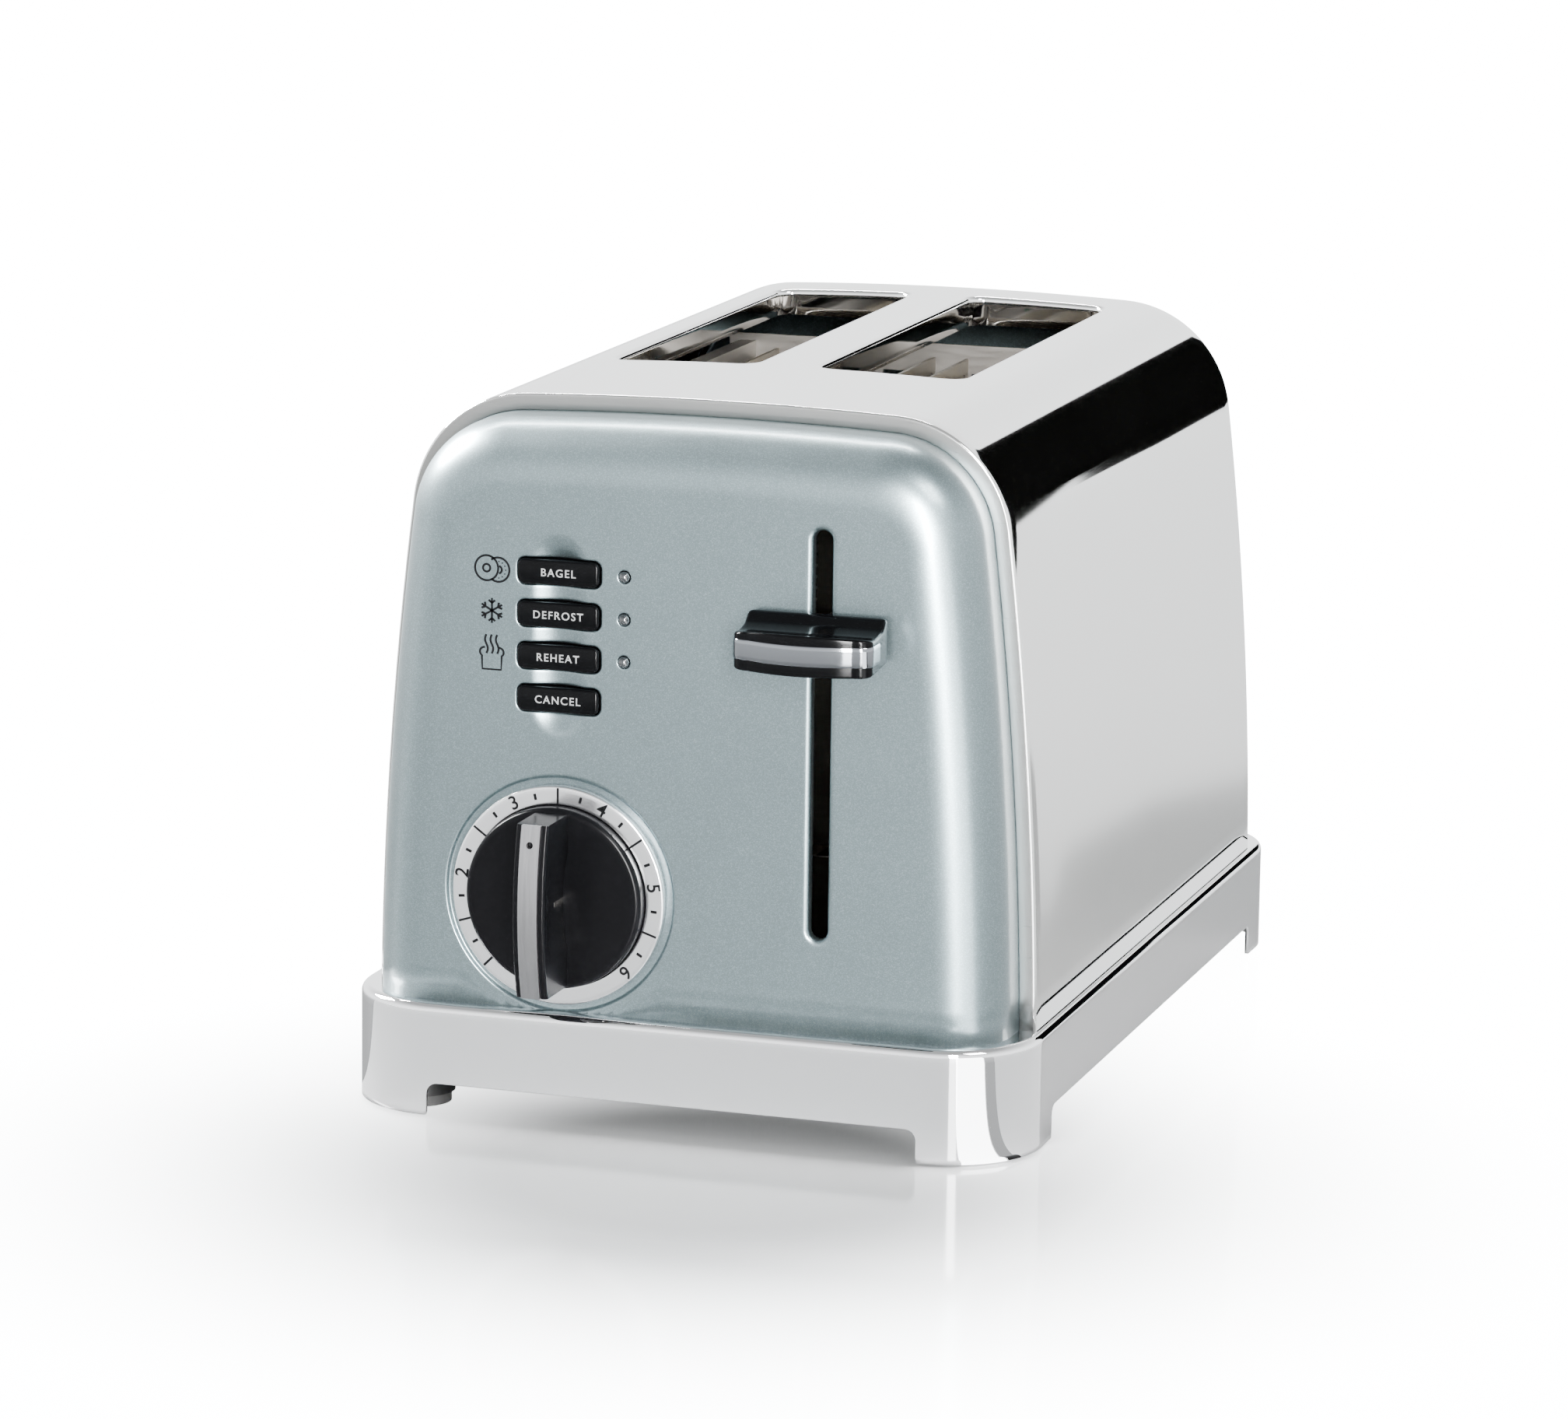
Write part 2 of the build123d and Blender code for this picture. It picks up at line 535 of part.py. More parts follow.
def make_rear_panel():
    skin, hollow = end_panel(BACK_FACE, WRAP_REAR - PANEL_LAP, False)
    with BuildPart() as rear_panel:
        add(skin)
        add(hollow, mode=Mode.SUBTRACT)
        with BuildSketch(facing_front(BACK_FACE + 1)):
            with Locations((INLET_X, INLET_Z)):
                Circle(INLET_RADIUS)
            with Locations((0, HEIGHT - VENT_DROP)):
                with GridLocations(VENT_PITCH, 1, VENT_COUNT, 1):
                    SlotOverall(VENT_LENGTH, VENT_WIDTH, rotation=90)
        extrude(amount=PANEL_WALL + 2, mode=Mode.SUBTRACT)
    save(rear_panel.part, "rear_panel")


def make_cord_inlet():
    with BuildPart() as cord_inlet:
        with BuildSketch(facing_front(BACK_FACE + INLET_REACH)):
            with Locations((INLET_X, INLET_Z)):
                Circle(INLET_RADIUS + INLET_RIM)
        extrude(amount=INLET_REACH)
        with BuildSketch(facing_front(BACK_FACE)):
            with Locations((INLET_X, INLET_Z)):
                Circle(INLET_RADIUS)
        extrude(amount=INLET_DEPTH)
        with BuildSketch(facing_front(BACK_FACE + INLET_REACH + 1)):
            with Locations((INLET_X, INLET_Z)):
                Circle(CORD_HOLE_RADIUS)
        extrude(amount=INLET_REACH + INLET_DEPTH + 2, mode=Mode.SUBTRACT)
        fillet(cord_inlet.faces().sort_by(Axis.Y)[-1].outer_wire().edges(), INLET_ROUND)
    save(cord_inlet.part, "cord_inlet")


# ---------------------------------------------------------------- dial
def make_dial_bezel():
    back = FACE + DIAL_RECESS
    front = FACE - BEZEL_REACH
    with BuildPart() as dial_bezel:
        with BuildSketch(facing_front(back)):
            with Locations((DIAL_X, DIAL_Z)):
                Circle(DIAL_RADIUS)
        extrude(amount=back - front)
        fillet(dial_bezel.faces().sort_by(Axis.Y)[0].edges(), BEZEL_ROUND)
        with BuildSketch(facing_front(back - BEZEL_FLOOR)):
            with Locations((DIAL_X, DIAL_Z)):
                Circle(KNOB_RADIUS + FIT)
        extrude(amount=2 * BEZEL_REACH, mode=Mode.SUBTRACT)
        with BuildSketch(facing_front(back + 1)):
            with Locations((DIAL_X, DIAL_Z)):
                Circle(2 * SHAFT_RADIUS)
        extrude(amount=2 * BEZEL_REACH, mode=Mode.SUBTRACT)
    save(dial_bezel.part, "dial_bezel")


def make_dial_knob():
    half = GRIP_LENGTH / 2
    base = KNOB_FACE + 1
    ends = STRIP_Y + GRIP_BOW
    floor = STRIP_Y + STRIP_SINK
    floor_ends = floor + STRIP_BOW
    past = half + 1
    ahead = STRIP_Y - 2 * GRIP_BOW
    with BuildPart() as dial_knob:
        with BuildSketch(facing_front(KNOB_BACK)):
            with Locations((DIAL_X, DIAL_Z)):
                Circle(KNOB_RADIUS)
        extrude(amount=KNOB_BACK - KNOB_FACE)
        fillet(dial_knob.faces().sort_by(Axis.Y)[0].edges(), KNOB_ROUND)
        with BuildSketch(facing_right(DIAL_X - GRIP_WIDTH / 2)):
            with BuildLine():
                Polyline((ends, DIAL_Z + half), (base, DIAL_Z + half - STRIP_SINK),
                         (base, DIAL_Z - half + STRIP_SINK), (ends, DIAL_Z - half))
                ThreePointArc((ends, DIAL_Z - half), (STRIP_Y, DIAL_Z), (ends, DIAL_Z + half))
            make_face()
        extrude(amount=GRIP_WIDTH)
        for side in SIDES.values():
            flank_x = DIAL_X + side * (GRIP_WIDTH / 2 + GRIP_FLANK_RADIUS - GRIP_WAIST)
            flank_y = ends + GRIP_WAIST
            with BuildSketch(facing_front(flank_y)):
                with Locations((flank_x, DIAL_Z)):
                    Circle(GRIP_FLANK_RADIUS)
            extrude(amount=flank_y - KNOB_FACE + 1, mode=Mode.SUBTRACT)
        front_edges = [edge for edge in dial_knob.edges() if edge.center().Y < STRIP_Y + GRIP_BOW / 2
                       and edge.length > GRIP_LENGTH * 0.8]
        fillet(front_edges, GRIP_ROUND)
        with BuildSketch(facing_right(DIAL_X - STRIP_WIDTH / 2)):
            with BuildLine():
                Polyline((floor_ends, DIAL_Z + past), (ahead, DIAL_Z + past),
                         (ahead, DIAL_Z - past), (floor_ends, DIAL_Z - past))
                ThreePointArc((floor_ends, DIAL_Z - past), (floor, DIAL_Z),
                              (floor_ends, DIAL_Z + past))
            make_face()
        extrude(amount=STRIP_WIDTH, mode=Mode.SUBTRACT)
        with BuildSketch(facing_front(KNOB_BACK + 1)):
            with Locations((DIAL_X, DIAL_Z)):
                Circle(SHAFT_RADIUS)
        extrude(amount=KNOB_BACK + 1 - SHAFT_TIP, mode=Mode.SUBTRACT)
    save(dial_knob.part, "dial_knob")


def make_knob_strip():
    """The metal strip let into the grip's bowed front, with its pointer hole near the top."""
    half = GRIP_LENGTH / 2
    back = STRIP_Y + STRIP_SINK
    back_ends = back + STRIP_BOW
    front = back - STRIP_WALL
    front_ends = front + STRIP_BOW - 2 * RUNNING
    past = half + 1
    with BuildPart() as knob_strip:
        with BuildSketch(facing_right(DIAL_X - STRIP_WIDTH / 2)):
            with BuildLine():
                ThreePointArc((back_ends, DIAL_Z + past), (back, DIAL_Z), (back_ends, DIAL_Z - past))
                Line((back_ends, DIAL_Z - past), (front_ends, DIAL_Z - past))
                ThreePointArc((front_ends, DIAL_Z - past), (front, DIAL_Z), (front_ends, DIAL_Z + past))
                Line((front_ends, DIAL_Z + past), (back_ends, DIAL_Z + past))
            make_face()
        extrude(amount=STRIP_WIDTH)
        with BuildSketch(Plane.XY.offset(DIAL_Z)):
            with Locations((DIAL_X, STRIP_Y)):
                Rectangle(2 * STRIP_WIDTH, 2 * KNOB_REACH)
        extrude(amount=half, both=True, mode=Mode.INTERSECT)
        with BuildSketch(facing_front(back_ends + 1)):
            with Locations((DIAL_X, DIAL_Z + half - STRIP_HOLE_DROP)):
                Circle(STRIP_HOLE_RADIUS)
        extrude(amount=2 * STRIP_BOW, mode=Mode.SUBTRACT)
    save(knob_strip.part, "knob_strip")


def make_knob_shaft():
    with BuildPart() as knob_shaft:
        with BuildSketch(facing_front(BOARD_Y - 2)):
            with Locations((DIAL_X, DIAL_Z)):
                Circle(SHAFT_RADIUS)
        extrude(amount=BOARD_Y - 2 - SHAFT_TIP)
    save(knob_shaft.part, "knob_shaft")


def make_potentiometer():
    with BuildPart() as potentiometer:
        with Locations((DIAL_X, BOARD_Y - POT_DEPTH / 2, DIAL_Z)):
            Box(POT_SIZE, POT_DEPTH, POT_SIZE)
        with BuildSketch(facing_front(BOARD_Y - 1)):
            with Locations((DIAL_X, DIAL_Z)):
                Circle(SHAFT_RADIUS + RUNNING)
        extrude(amount=POT_DEPTH + 1, mode=Mode.SUBTRACT)
    save(potentiometer.part, "potentiometer")


# ---------------------------------------------------------------- buttons and lights
def make_button(name, z):
    with BuildPart() as button:
        with BuildSketch(facing_front(FLANGE_FRONT)):
            with Locations((BUTTON_X, z)):
                RectangleRounded(BUTTON_WIDTH, BUTTON_HEIGHT, BUTTON_CORNER)
        extrude(amount=FLANGE_FRONT - BUTTON_FRONT)
        fillet(button.faces().sort_by(Axis.Y)[0].edges(), BUTTON_ROUND)
        with BuildSketch(facing_front(FLANGE_FRONT + FLANGE_WALL)):
            with Locations((BUTTON_X, z)):
                Rectangle(BUTTON_WIDTH + FLANGE_MARGIN, BUTTON_HEIGHT + FLANGE_MARGIN)
        extrude(amount=FLANGE_WALL)
        pusher_end = BOARD_Y - SWITCH_DEPTH - BUTTON_TRAVEL - 4 * RUNNING
        with BuildSketch(facing_front(pusher_end)):
            with Locations((BUTTON_X, z)):
                Rectangle(PUSHER_SIZE, PUSHER_SIZE)
        extrude(amount=pusher_end - FLANGE_FRONT - FLANGE_WALL)
    save(button.part, f"button_{name}")


def make_tact_switches():
    with BuildPart() as tact_switches:
        for z in BUTTON_HEIGHTS:
            with Locations((BUTTON_X, BOARD_Y - 1, z)):
                Box(SWITCH_SIZE, 2, SWITCH_SIZE)
            with Locations((BUTTON_X, BOARD_Y - SWITCH_DEPTH / 2, z)):
                Cylinder(PLUNGER_RADIUS, SWITCH_DEPTH, rotation=(90, 0, 0))
    save(tact_switches.part, "tact_switches")


def make_led_lenses():
    with BuildPart() as led_lenses:
        for z in BUTTON_HEIGHTS[:-1]:
            with BuildSketch(facing_front(BOARD_Y - LED_SIZE)):
                with Locations((LED_X, z)):
                    Circle(LED_RADIUS)
            extrude(amount=BOARD_Y - LED_SIZE - FACE)
            with Locations((LED_X, FACE, z)):
                Sphere(LED_RADIUS)
    save(led_lenses.part, "led_lenses")


def make_leds():
    with BuildPart() as leds:
        for z in BUTTON_HEIGHTS[:-1]:
            with Locations((LED_X, BOARD_Y - LED_SIZE / 2, z)):
                Box(LED_SIZE, LED_SIZE, LED_SIZE)
    save(leds.part, "leds")


def board_corners():
    xs = [PCB_X[0] + STANDOFF_INSET, PCB_X[1] - STANDOFF_INSET]
    zs = [BOARD_Z[0] + STANDOFF_INSET, BOARD_Z[1] - STANDOFF_INSET]
    return [(x, z) for x in xs for z in zs]


def make_control_board():
    with BuildPart() as control_board:
        with BuildSketch(facing_front(BOARD_Y + PCB_WALL)):
            with Locations((sum(PCB_X) / 2, sum(BOARD_Z) / 2)):
                Rectangle(PCB_X[1] - PCB_X[0], BOARD_Z[1] - BOARD_Z[0])
        extrude(amount=PCB_WALL)
    save(control_board.part, "control_board")


def make_board_standoffs():
    with BuildPart() as board_standoffs:
        with BuildSketch(facing_front(BOARD_Y)):
            with Locations(*board_corners()):
                Circle(STANDOFF_RADIUS)
        extrude(amount=BOARD_Y - FACE - PANEL_WALL)
    save(board_standoffs.part, "board_standoffs")


def make_button_housing():
    rows = BUTTON_HEIGHTS[0] - BUTTON_HEIGHTS[-1] + BUTTON_HEIGHT
    inner = 2 * HOUSING_GAP
    outer = inner + 2 * HOUSING_WALL
    with BuildPart() as button_housing:
        with BuildSketch(facing_front(BOARD_Y)):
            with Locations((BUTTON_X, (BUTTON_HEIGHTS[0] + BUTTON_HEIGHTS[-1]) / 2)):
                Rectangle(BUTTON_WIDTH + outer, rows + outer)
                Rectangle(BUTTON_WIDTH + inner, rows + inner, mode=Mode.SUBTRACT)
        extrude(amount=BOARD_Y - FLANGE_FRONT)
    save(button_housing.part, "button_housing")


# ---------------------------------------------------------------- chassis and heaters
def make_chassis_plate(name, near, far, top_tab):
    """An end plate of the bread chamber: slots for the lifter arms and for the guide wires.

    Its ears bend forward onto the ledge, and the front plate's top tab holds the guide rod.
    """
    arm_low = LIFTER_Z - LIFTER_WALL - ARM_HEIGHT - CARRIAGE_DOWN - 2
    arm_high = LIFTER_Z + CARRIAGE_LIFT + 2
    with BuildPart() as plate:
        with BuildSketch(facing_front(far)):
            with Locations((0, (TRAY_TOP + PLATE_LIFT + CHASSIS_TOP) / 2)):
                Rectangle(2 * CHASSIS_HALF_WIDTH, CHASSIS_TOP - TRAY_TOP - PLATE_LIFT)
            with Locations((0, BASE_TOP + EAR_HEIGHT / 2)):
                Rectangle(2 * (CHASSIS_HALF_WIDTH + EAR_WIDTH), EAR_HEIGHT)
        extrude(amount=far - near)
        for side in SIDES.values():
            with Locations((side * (CHASSIS_HALF_WIDTH + EAR_WIDTH - EAR_HEIGHT / 2),
                            near - EAR_FOOT / 2, BASE_TOP + SHEET / 2)):
                Box(EAR_HEIGHT, EAR_FOOT, SHEET)
        with BuildSketch(Plane.XY.offset(BASE_TOP - 1)):
            with Locations(*ear_places()):
                Circle(SCREW_HOLE_RADIUS)
        extrude(amount=SHEET + 2, mode=Mode.SUBTRACT)
        with BuildSketch(facing_front(far + 1)):
            for slot_x in (-SLOT_X, SLOT_X):
                with Locations((slot_x, (arm_low + arm_high) / 2)):
                    Rectangle(ARM_SLOT, arm_high - arm_low)
                for side in (-1, 1):
                    middle = slot_x + side * (CAGE_OFFSET - (CAGE_TRAVEL - 2) / 2)
                    for z in (CAGE_BOTTOM, CAGE_TOP):
                        with Locations((middle, z)):
                            Rectangle(CAGE_TRAVEL + 4 * CAGE_WIRE + 2, 2 * CAGE_WIRE + 1.2)
        extrude(amount=far - near + 2, mode=Mode.SUBTRACT)
        if top_tab:
            with Locations((ROD_TAB_X, near - ROD_TAB[1] / 2, ROD_TOP + SHEET / 2)):
                Box(*ROD_TAB, SHEET)
    save(plate.part, name)


def make_reflector(name, side):
    x = side * (SLOT_X + BOARD_OFFSET + REFLECTOR_GAP)
    low = TRAY_TOP + REFLECTOR_LIFT
    high = CHASSIS_TOP - 2
    flange_x = x + side * (REFLECTOR_FLANGE - REFLECTOR_WALL) / 2
    with BuildPart() as reflector:
        with Locations((x, CHAMBER_Y, (low + high) / 2)):
            Box(REFLECTOR_WALL, CHAMBER_LENGTH, high - low)
        for z in (low + REFLECTOR_WALL / 2, high - REFLECTOR_WALL / 2):
            with Locations((flange_x, CHAMBER_Y, z)):
                Box(REFLECTOR_FLANGE, CHAMBER_LENGTH, REFLECTOR_WALL)
    save(reflector.part, name)


def heater_places():
    """Name, slot side and x of each heater board."""
    places = []
    for name, side in SIDES.items():
        places.append((f"{name}_outer", side * (SLOT_X + BOARD_OFFSET)))
        places.append((f"{name}_inner", side * (SLOT_X - BOARD_OFFSET)))
    return places


def make_heater_board(name, x):
    """A mica board, notched at both ends where the ribbon turns round it."""
    notch_height = (BOARD_TOP - BOARD_BOTTOM) * NOTCH_SHARE
    with BuildPart() as heater_board:
        with Locations((x, CHAMBER_Y, (BOARD_BOTTOM + BOARD_TOP) / 2)):
            Box(BOARD_WALL, CHAMBER_LENGTH, BOARD_TOP - BOARD_BOTTOM)
        with BuildSketch(facing_right(x - BOARD_WALL)):
            for y in (PLATE_FRONT + RIBBON_MARGIN, PLATE_REAR - RIBBON_MARGIN):
                with Locations((y, (BOARD_BOTTOM + BOARD_TOP) / 2)):
                    Rectangle(2, notch_height)
        extrude(amount=2 * BOARD_WALL, mode=Mode.SUBTRACT)
    save(heater_board.part, f"heater_board_{name}")


def make_heater_ribbon(name, x):
    """The flat heating ribbon, turn over turn round the board's middle."""
    edge = RIBBON_MARGIN + 1
    pitch = (BOARD_TOP - BOARD_BOTTOM - 2 * edge) / RIBBON_TURNS
    length = CHAMBER_LENGTH - 2 * edge
    with BuildPart() as ribbon:
        for turn in range(RIBBON_TURNS):
            z = BOARD_BOTTOM + edge + pitch * (turn + 0.5)
            with BuildSketch(Plane.XY.offset(z - RIBBON_HEIGHT / 2)):
                with Locations((x, CHAMBER_Y)):
                    Rectangle(BOARD_WALL + 2 * RIBBON, length + 2 * RIBBON)
                    Rectangle(BOARD_WALL, length, mode=Mode.SUBTRACT)
            extrude(amount=RIBBON_HEIGHT)
    save(ribbon.part, f"heater_ribbon_{name}")


def make_bread_guide(name, x):
    """A grid of wires beside the bread; its long rods slide in the end plates' slots."""
    low = SLOT_Y - SLOT_LENGTH / 2 - CAGE_SPARE
    high = SLOT_Y + SLOT_LENGTH / 2 + CAGE_SPARE
    length = CHAMBER_LENGTH + 2 * SHEET + 2 * CAGE_SPARE
    with BuildPart() as bread_guide:
        for z in (CAGE_BOTTOM, CAGE_TOP):
            with Locations((x, CHAMBER_Y, z)):
                Cylinder(CAGE_WIRE, length, rotation=(90, 0, 0))
        for bar in range(CAGE_BARS):
            y = low + (high - low) * bar / (CAGE_BARS - 1)
            with Locations((x, y, (CAGE_BOTTOM + CAGE_TOP) / 2)):
                Cylinder(CAGE_WIRE * 0.8, CAGE_TOP - CAGE_BOTTOM)
    save(bread_guide.part, f"bread_guide_{name}")


def guide_places():
    places = []
    for name, side in SIDES.items():
        places.append((f"{name}_outer", side * (SLOT_X + CAGE_OFFSET)))
        places.append((f"{name}_inner", side * (SLOT_X - CAGE_OFFSET)))
    return places


# ---------------------------------------------------------------- lift
def make_carriage_plate():
    with BuildPart() as carriage_plate:
        with BuildSketch(facing_front(CARRIAGE_Y)):
            with Locations((CARRIAGE_MIDDLE, (CARRIAGE_BOTTOM + TAB_Z) / 2)):
                Rectangle(CARRIAGE_WIDTH, TAB_Z - CARRIAGE_BOTTOM)
            with Locations((LEVER_X, LEVER_Z)):
                Rectangle(2 * STEM_WIDTH + 1, 3 * STEM_HEIGHT)
        extrude(amount=SHEET)
        with Locations((TAB_MIDDLE, CARRIAGE_Y - TAB_REACH / 2, TAB_Z + SHEET / 2)):
            Box(TAB_WIDTH, TAB_REACH, SHEET)
        with BuildSketch(Plane.XY.offset(TAB_Z - 1)):
            with Locations((0, ROD_Y)):
                Circle(ROD_RADIUS + BUSH_WALL + 1)
        extrude(amount=SHEET + 2, mode=Mode.SUBTRACT)
    save(carriage_plate.part, "carriage_plate")


def make_carriage_bush():
    back = CARRIAGE_Y - SHEET
    with BuildPart() as carriage_bush:
        with BuildSketch(Plane.XY.offset(CARRIAGE_BOTTOM)):
            with Locations((0, ROD_Y)):
                Circle(ROD_RADIUS + BUSH_WALL)
            with Locations((0, (ROD_Y + back) / 2)):
                Rectangle(BUSH_WEB, back - ROD_Y)
            with Locations((0, ROD_Y)):
                Circle(ROD_RADIUS + RUNNING, mode=Mode.SUBTRACT)
        extrude(amount=TAB_Z - CARRIAGE_BOTTOM - FIT)
    save(carriage_bush.part, "carriage_bush")


def make_guide_rod():
    with BuildPart() as guide_rod:
        with BuildSketch(Plane.XY.offset(FLOOR_TOP)):
            with Locations((0, ROD_Y)):
                Circle(ROD_RADIUS)
        extrude(amount=ROD_TOP - FLOOR_TOP)
    save(guide_rod.part, "guide_rod")


def make_bread_lifter(name, x):
    """The perforated rest under a slice, on an arm that runs through both end plates."""
    length = SLOT_LENGTH + 2 * LIFTER_SPARE
    arm_far = PLATE_REAR + SHEET + LIFTER_SPARE
    with BuildPart() as bread_lifter:
        with Locations((x, SLOT_Y, LIFTER_Z - LIFTER_WALL / 2)):
            Box(LIFTER_WIDTH, length, LIFTER_WALL)
        with Locations((x, (CARRIAGE_Y + arm_far) / 2, LIFTER_Z - LIFTER_WALL - ARM_HEIGHT / 2)):
            Box(ARM_WIDTH, arm_far - CARRIAGE_Y, ARM_HEIGHT)
        with BuildSketch(Plane.XY.offset(LIFTER_Z - 2 * LIFTER_WALL)):
            with Locations((x, SLOT_Y)):
                with GridLocations(ARM_WIDTH * 3, LIFTER_WIDTH, 2, LIFTER_HOLES):
                    SlotOverall(*LIFTER_HOLE, rotation=90)
        extrude(amount=3 * LIFTER_WALL, mode=Mode.SUBTRACT)
    save(bread_lifter.part, f"bread_lifter_{name}")


def make_lever_stem():
    with BuildPart() as lever_stem:
        with Locations((LEVER_X, (STEM_Y + HANDLE_BACK) / 2, LEVER_Z)):
            Box(STEM_WIDTH, STEM_Y - HANDLE_BACK, STEM_HEIGHT)
    save(lever_stem.part, "lever_stem")


def handle_plan(grow):
    """Plan outline of the lever handle, drawn in the current sketch and grown outward."""
    half = LEVER_WIDTH / 2 + grow
    reach = HANDLE_FRONT - grow
    shoulder = HANDLE_BACK - HANDLE_BOW
    notch = HANDLE_BOW / 2
    with BuildLine() as outline:
        Polyline((LEVER_X - half, reach + HANDLE_BOW), (LEVER_X - half, shoulder),
                 (LEVER_X - half + notch, HANDLE_BACK), (LEVER_X + half - notch, HANDLE_BACK),
                 (LEVER_X + half, shoulder), (LEVER_X + half, reach + HANDLE_BOW))
        ThreePointArc((LEVER_X + half, reach + HANDLE_BOW), (LEVER_X, reach),
                      (LEVER_X - half, reach + HANDLE_BOW))
    make_face(outline.edges())


def make_lever_handle():
    """The push handle: a saddle along its top, a raised back edge and an undercut underside."""
    top = LEVER_Z + LEVER_HEIGHT / 2
    bottom = LEVER_Z - LEVER_HEIGHT / 2
    lip = HANDLE_FRONT + HANDLE_RIDGE
    heel = HANDLE_BACK - HANDLE_BOW - HANDLE_ROUND
    heel_z = top - HANDLE_SADDLE / 2
    above = top + 2 * HANDLE_RIDGE
    undercut = HANDLE_FRONT + 2 * HANDLE_RIDGE
    with BuildPart() as lever_handle:
        with BuildSketch(Plane.XY.offset(bottom)):
            handle_plan(0)
        extrude(amount=LEVER_HEIGHT + HANDLE_RIDGE)
        with BuildSketch(facing_right(LEVER_X - LEVER_WIDTH)):
            with BuildLine():
                Polyline((HANDLE_FRONT - 2, top), (lip, top))
                ThreePointArc((lip, top), ((HANDLE_FRONT + HANDLE_BACK) / 2, top - HANDLE_SADDLE),
                              (heel, heel_z))
                Polyline((heel, heel_z), (heel + HANDLE_ROUND, above), (HANDLE_FRONT - 2, above),
                         (HANDLE_FRONT - 2, top))
            make_face()
        extrude(amount=2 * LEVER_WIDTH, mode=Mode.SUBTRACT)
        with BuildSketch(facing_right(LEVER_X - LEVER_WIDTH)):
            with BuildLine():
                Polyline((undercut, bottom - 1), (undercut, bottom),
                         (HANDLE_BACK - 2 * HANDLE_RIDGE, bottom + HANDLE_BOW),
                         (HANDLE_BACK + 1, bottom + HANDLE_BOW), (HANDLE_BACK + 1, bottom - 1),
                         (undercut, bottom - 1))
            make_face()
        extrude(amount=2 * LEVER_WIDTH, mode=Mode.SUBTRACT)
        front_edges = [edge for edge in lever_handle.edges() if edge.center().Y < lip
                       and edge.length > LEVER_WIDTH * 0.8]
        fillet(front_edges, HANDLE_ROUND)
        trim_groove(Mode.SUBTRACT, 1.0)
    save(lever_handle.part, "lever_handle")


def trim_groove(mode, extra):
    """The band round the handle's nose, cut from the handle or made as the trim."""
    wrap_back = HANDLE_FRONT + TRIM_RETURN
    core = LEVER_WIDTH / 2 - TRIM_WALL + TRIM_PROUD
    core_front = HANDLE_FRONT + TRIM_WALL - TRIM_PROUD
    with BuildSketch(Plane.XY.offset(LEVER_Z - TRIM_HEIGHT / 2)) as band:
        handle_plan(TRIM_PROUD + extra)
        with Locations((LEVER_X, wrap_back + BASE_LENGTH / 2)):
            Rectangle(4 * LEVER_WIDTH, BASE_LENGTH, mode=Mode.SUBTRACT)
        with BuildLine():
            Polyline((LEVER_X + core, core_front + HANDLE_BOW), (LEVER_X + core, wrap_back + 1),
                     (LEVER_X - core, wrap_back + 1), (LEVER_X - core, core_front + HANDLE_BOW))
            ThreePointArc((LEVER_X - core, core_front + HANDLE_BOW), (LEVER_X, core_front),
                          (LEVER_X + core, core_front + HANDLE_BOW))
        make_face(mode=Mode.SUBTRACT)
    extrude(band.sketch, amount=TRIM_HEIGHT, mode=mode)


def make_lever_trim():
    with BuildPart() as lever_trim:
        trim_groove(Mode.ADD, 0.0)
    save(lever_trim.part, "lever_trim")


def make_return_spring():
    spring_low = TAB_Z + SHEET + SPRING_WIRE
    length = ROD_TOP - spring_low - SPRING_WIRE
    with BuildPart() as return_spring:
        with BuildLine():
            coil = Helix(pitch=length / SPRING_TURNS, height=length, radius=SPRING_RADIUS,
                         center=(SPRING_X, ROD_Y, spring_low))
        with BuildSketch(Plane(origin=coil @ 0, z_dir=coil % 0)):
            Circle(SPRING_WIRE)
        sweep(path=coil)
    save(return_spring.part, "return_spring")


def make_armature():
    with BuildPart() as armature:
        with Locations((MAGNET_X, MAGNET_Y, ARMATURE_Z + ARMATURE_WALL / 2)):
            Box(MAGNET_WIDTH + 2 * ARMATURE_SPARE, MAGNET_DEPTH + ARMATURE_SPARE, ARMATURE_WALL)
    save(armature.part, "armature")


def make_magnet_core():
    window_z = MAGNET_TOP - MAGNET_HEIGHT / 2 + MAGNET_YOKE
    with BuildPart() as magnet_core:
        with Locations((MAGNET_X, MAGNET_Y, MAGNET_TOP - MAGNET_HEIGHT / 2)):
            Box(MAGNET_WIDTH, MAGNET_DEPTH, MAGNET_HEIGHT)
        for side in SIDES.values():
            with Locations((MAGNET_X + side * MAGNET_WIDTH / 4, MAGNET_Y, window_z)):
                Box(MAGNET_WINDOW, MAGNET_DEPTH + 1, MAGNET_HEIGHT - MAGNET_YOKE,
                    mode=Mode.SUBTRACT)
    save(magnet_core.part, "magnet_core")


def make_magnet_coil():
    """Copper turns round the core's middle leg."""
    leg = MAGNET_WIDTH / 2 - MAGNET_WINDOW
    with BuildPart() as magnet_coil:
        with Locations((MAGNET_X, MAGNET_Y, MAGNET_TOP - MAGNET_HEIGHT / 2 + MAGNET_YOKE - 1)):
            Box(leg + 2 * COIL_WALL, MAGNET_DEPTH + 2 * COIL_WALL, MAGNET_HEIGHT - COIL_SPARE)
            Box(leg, MAGNET_DEPTH, MAGNET_HEIGHT, mode=Mode.SUBTRACT)
    save(magnet_coil.part, "magnet_coil")


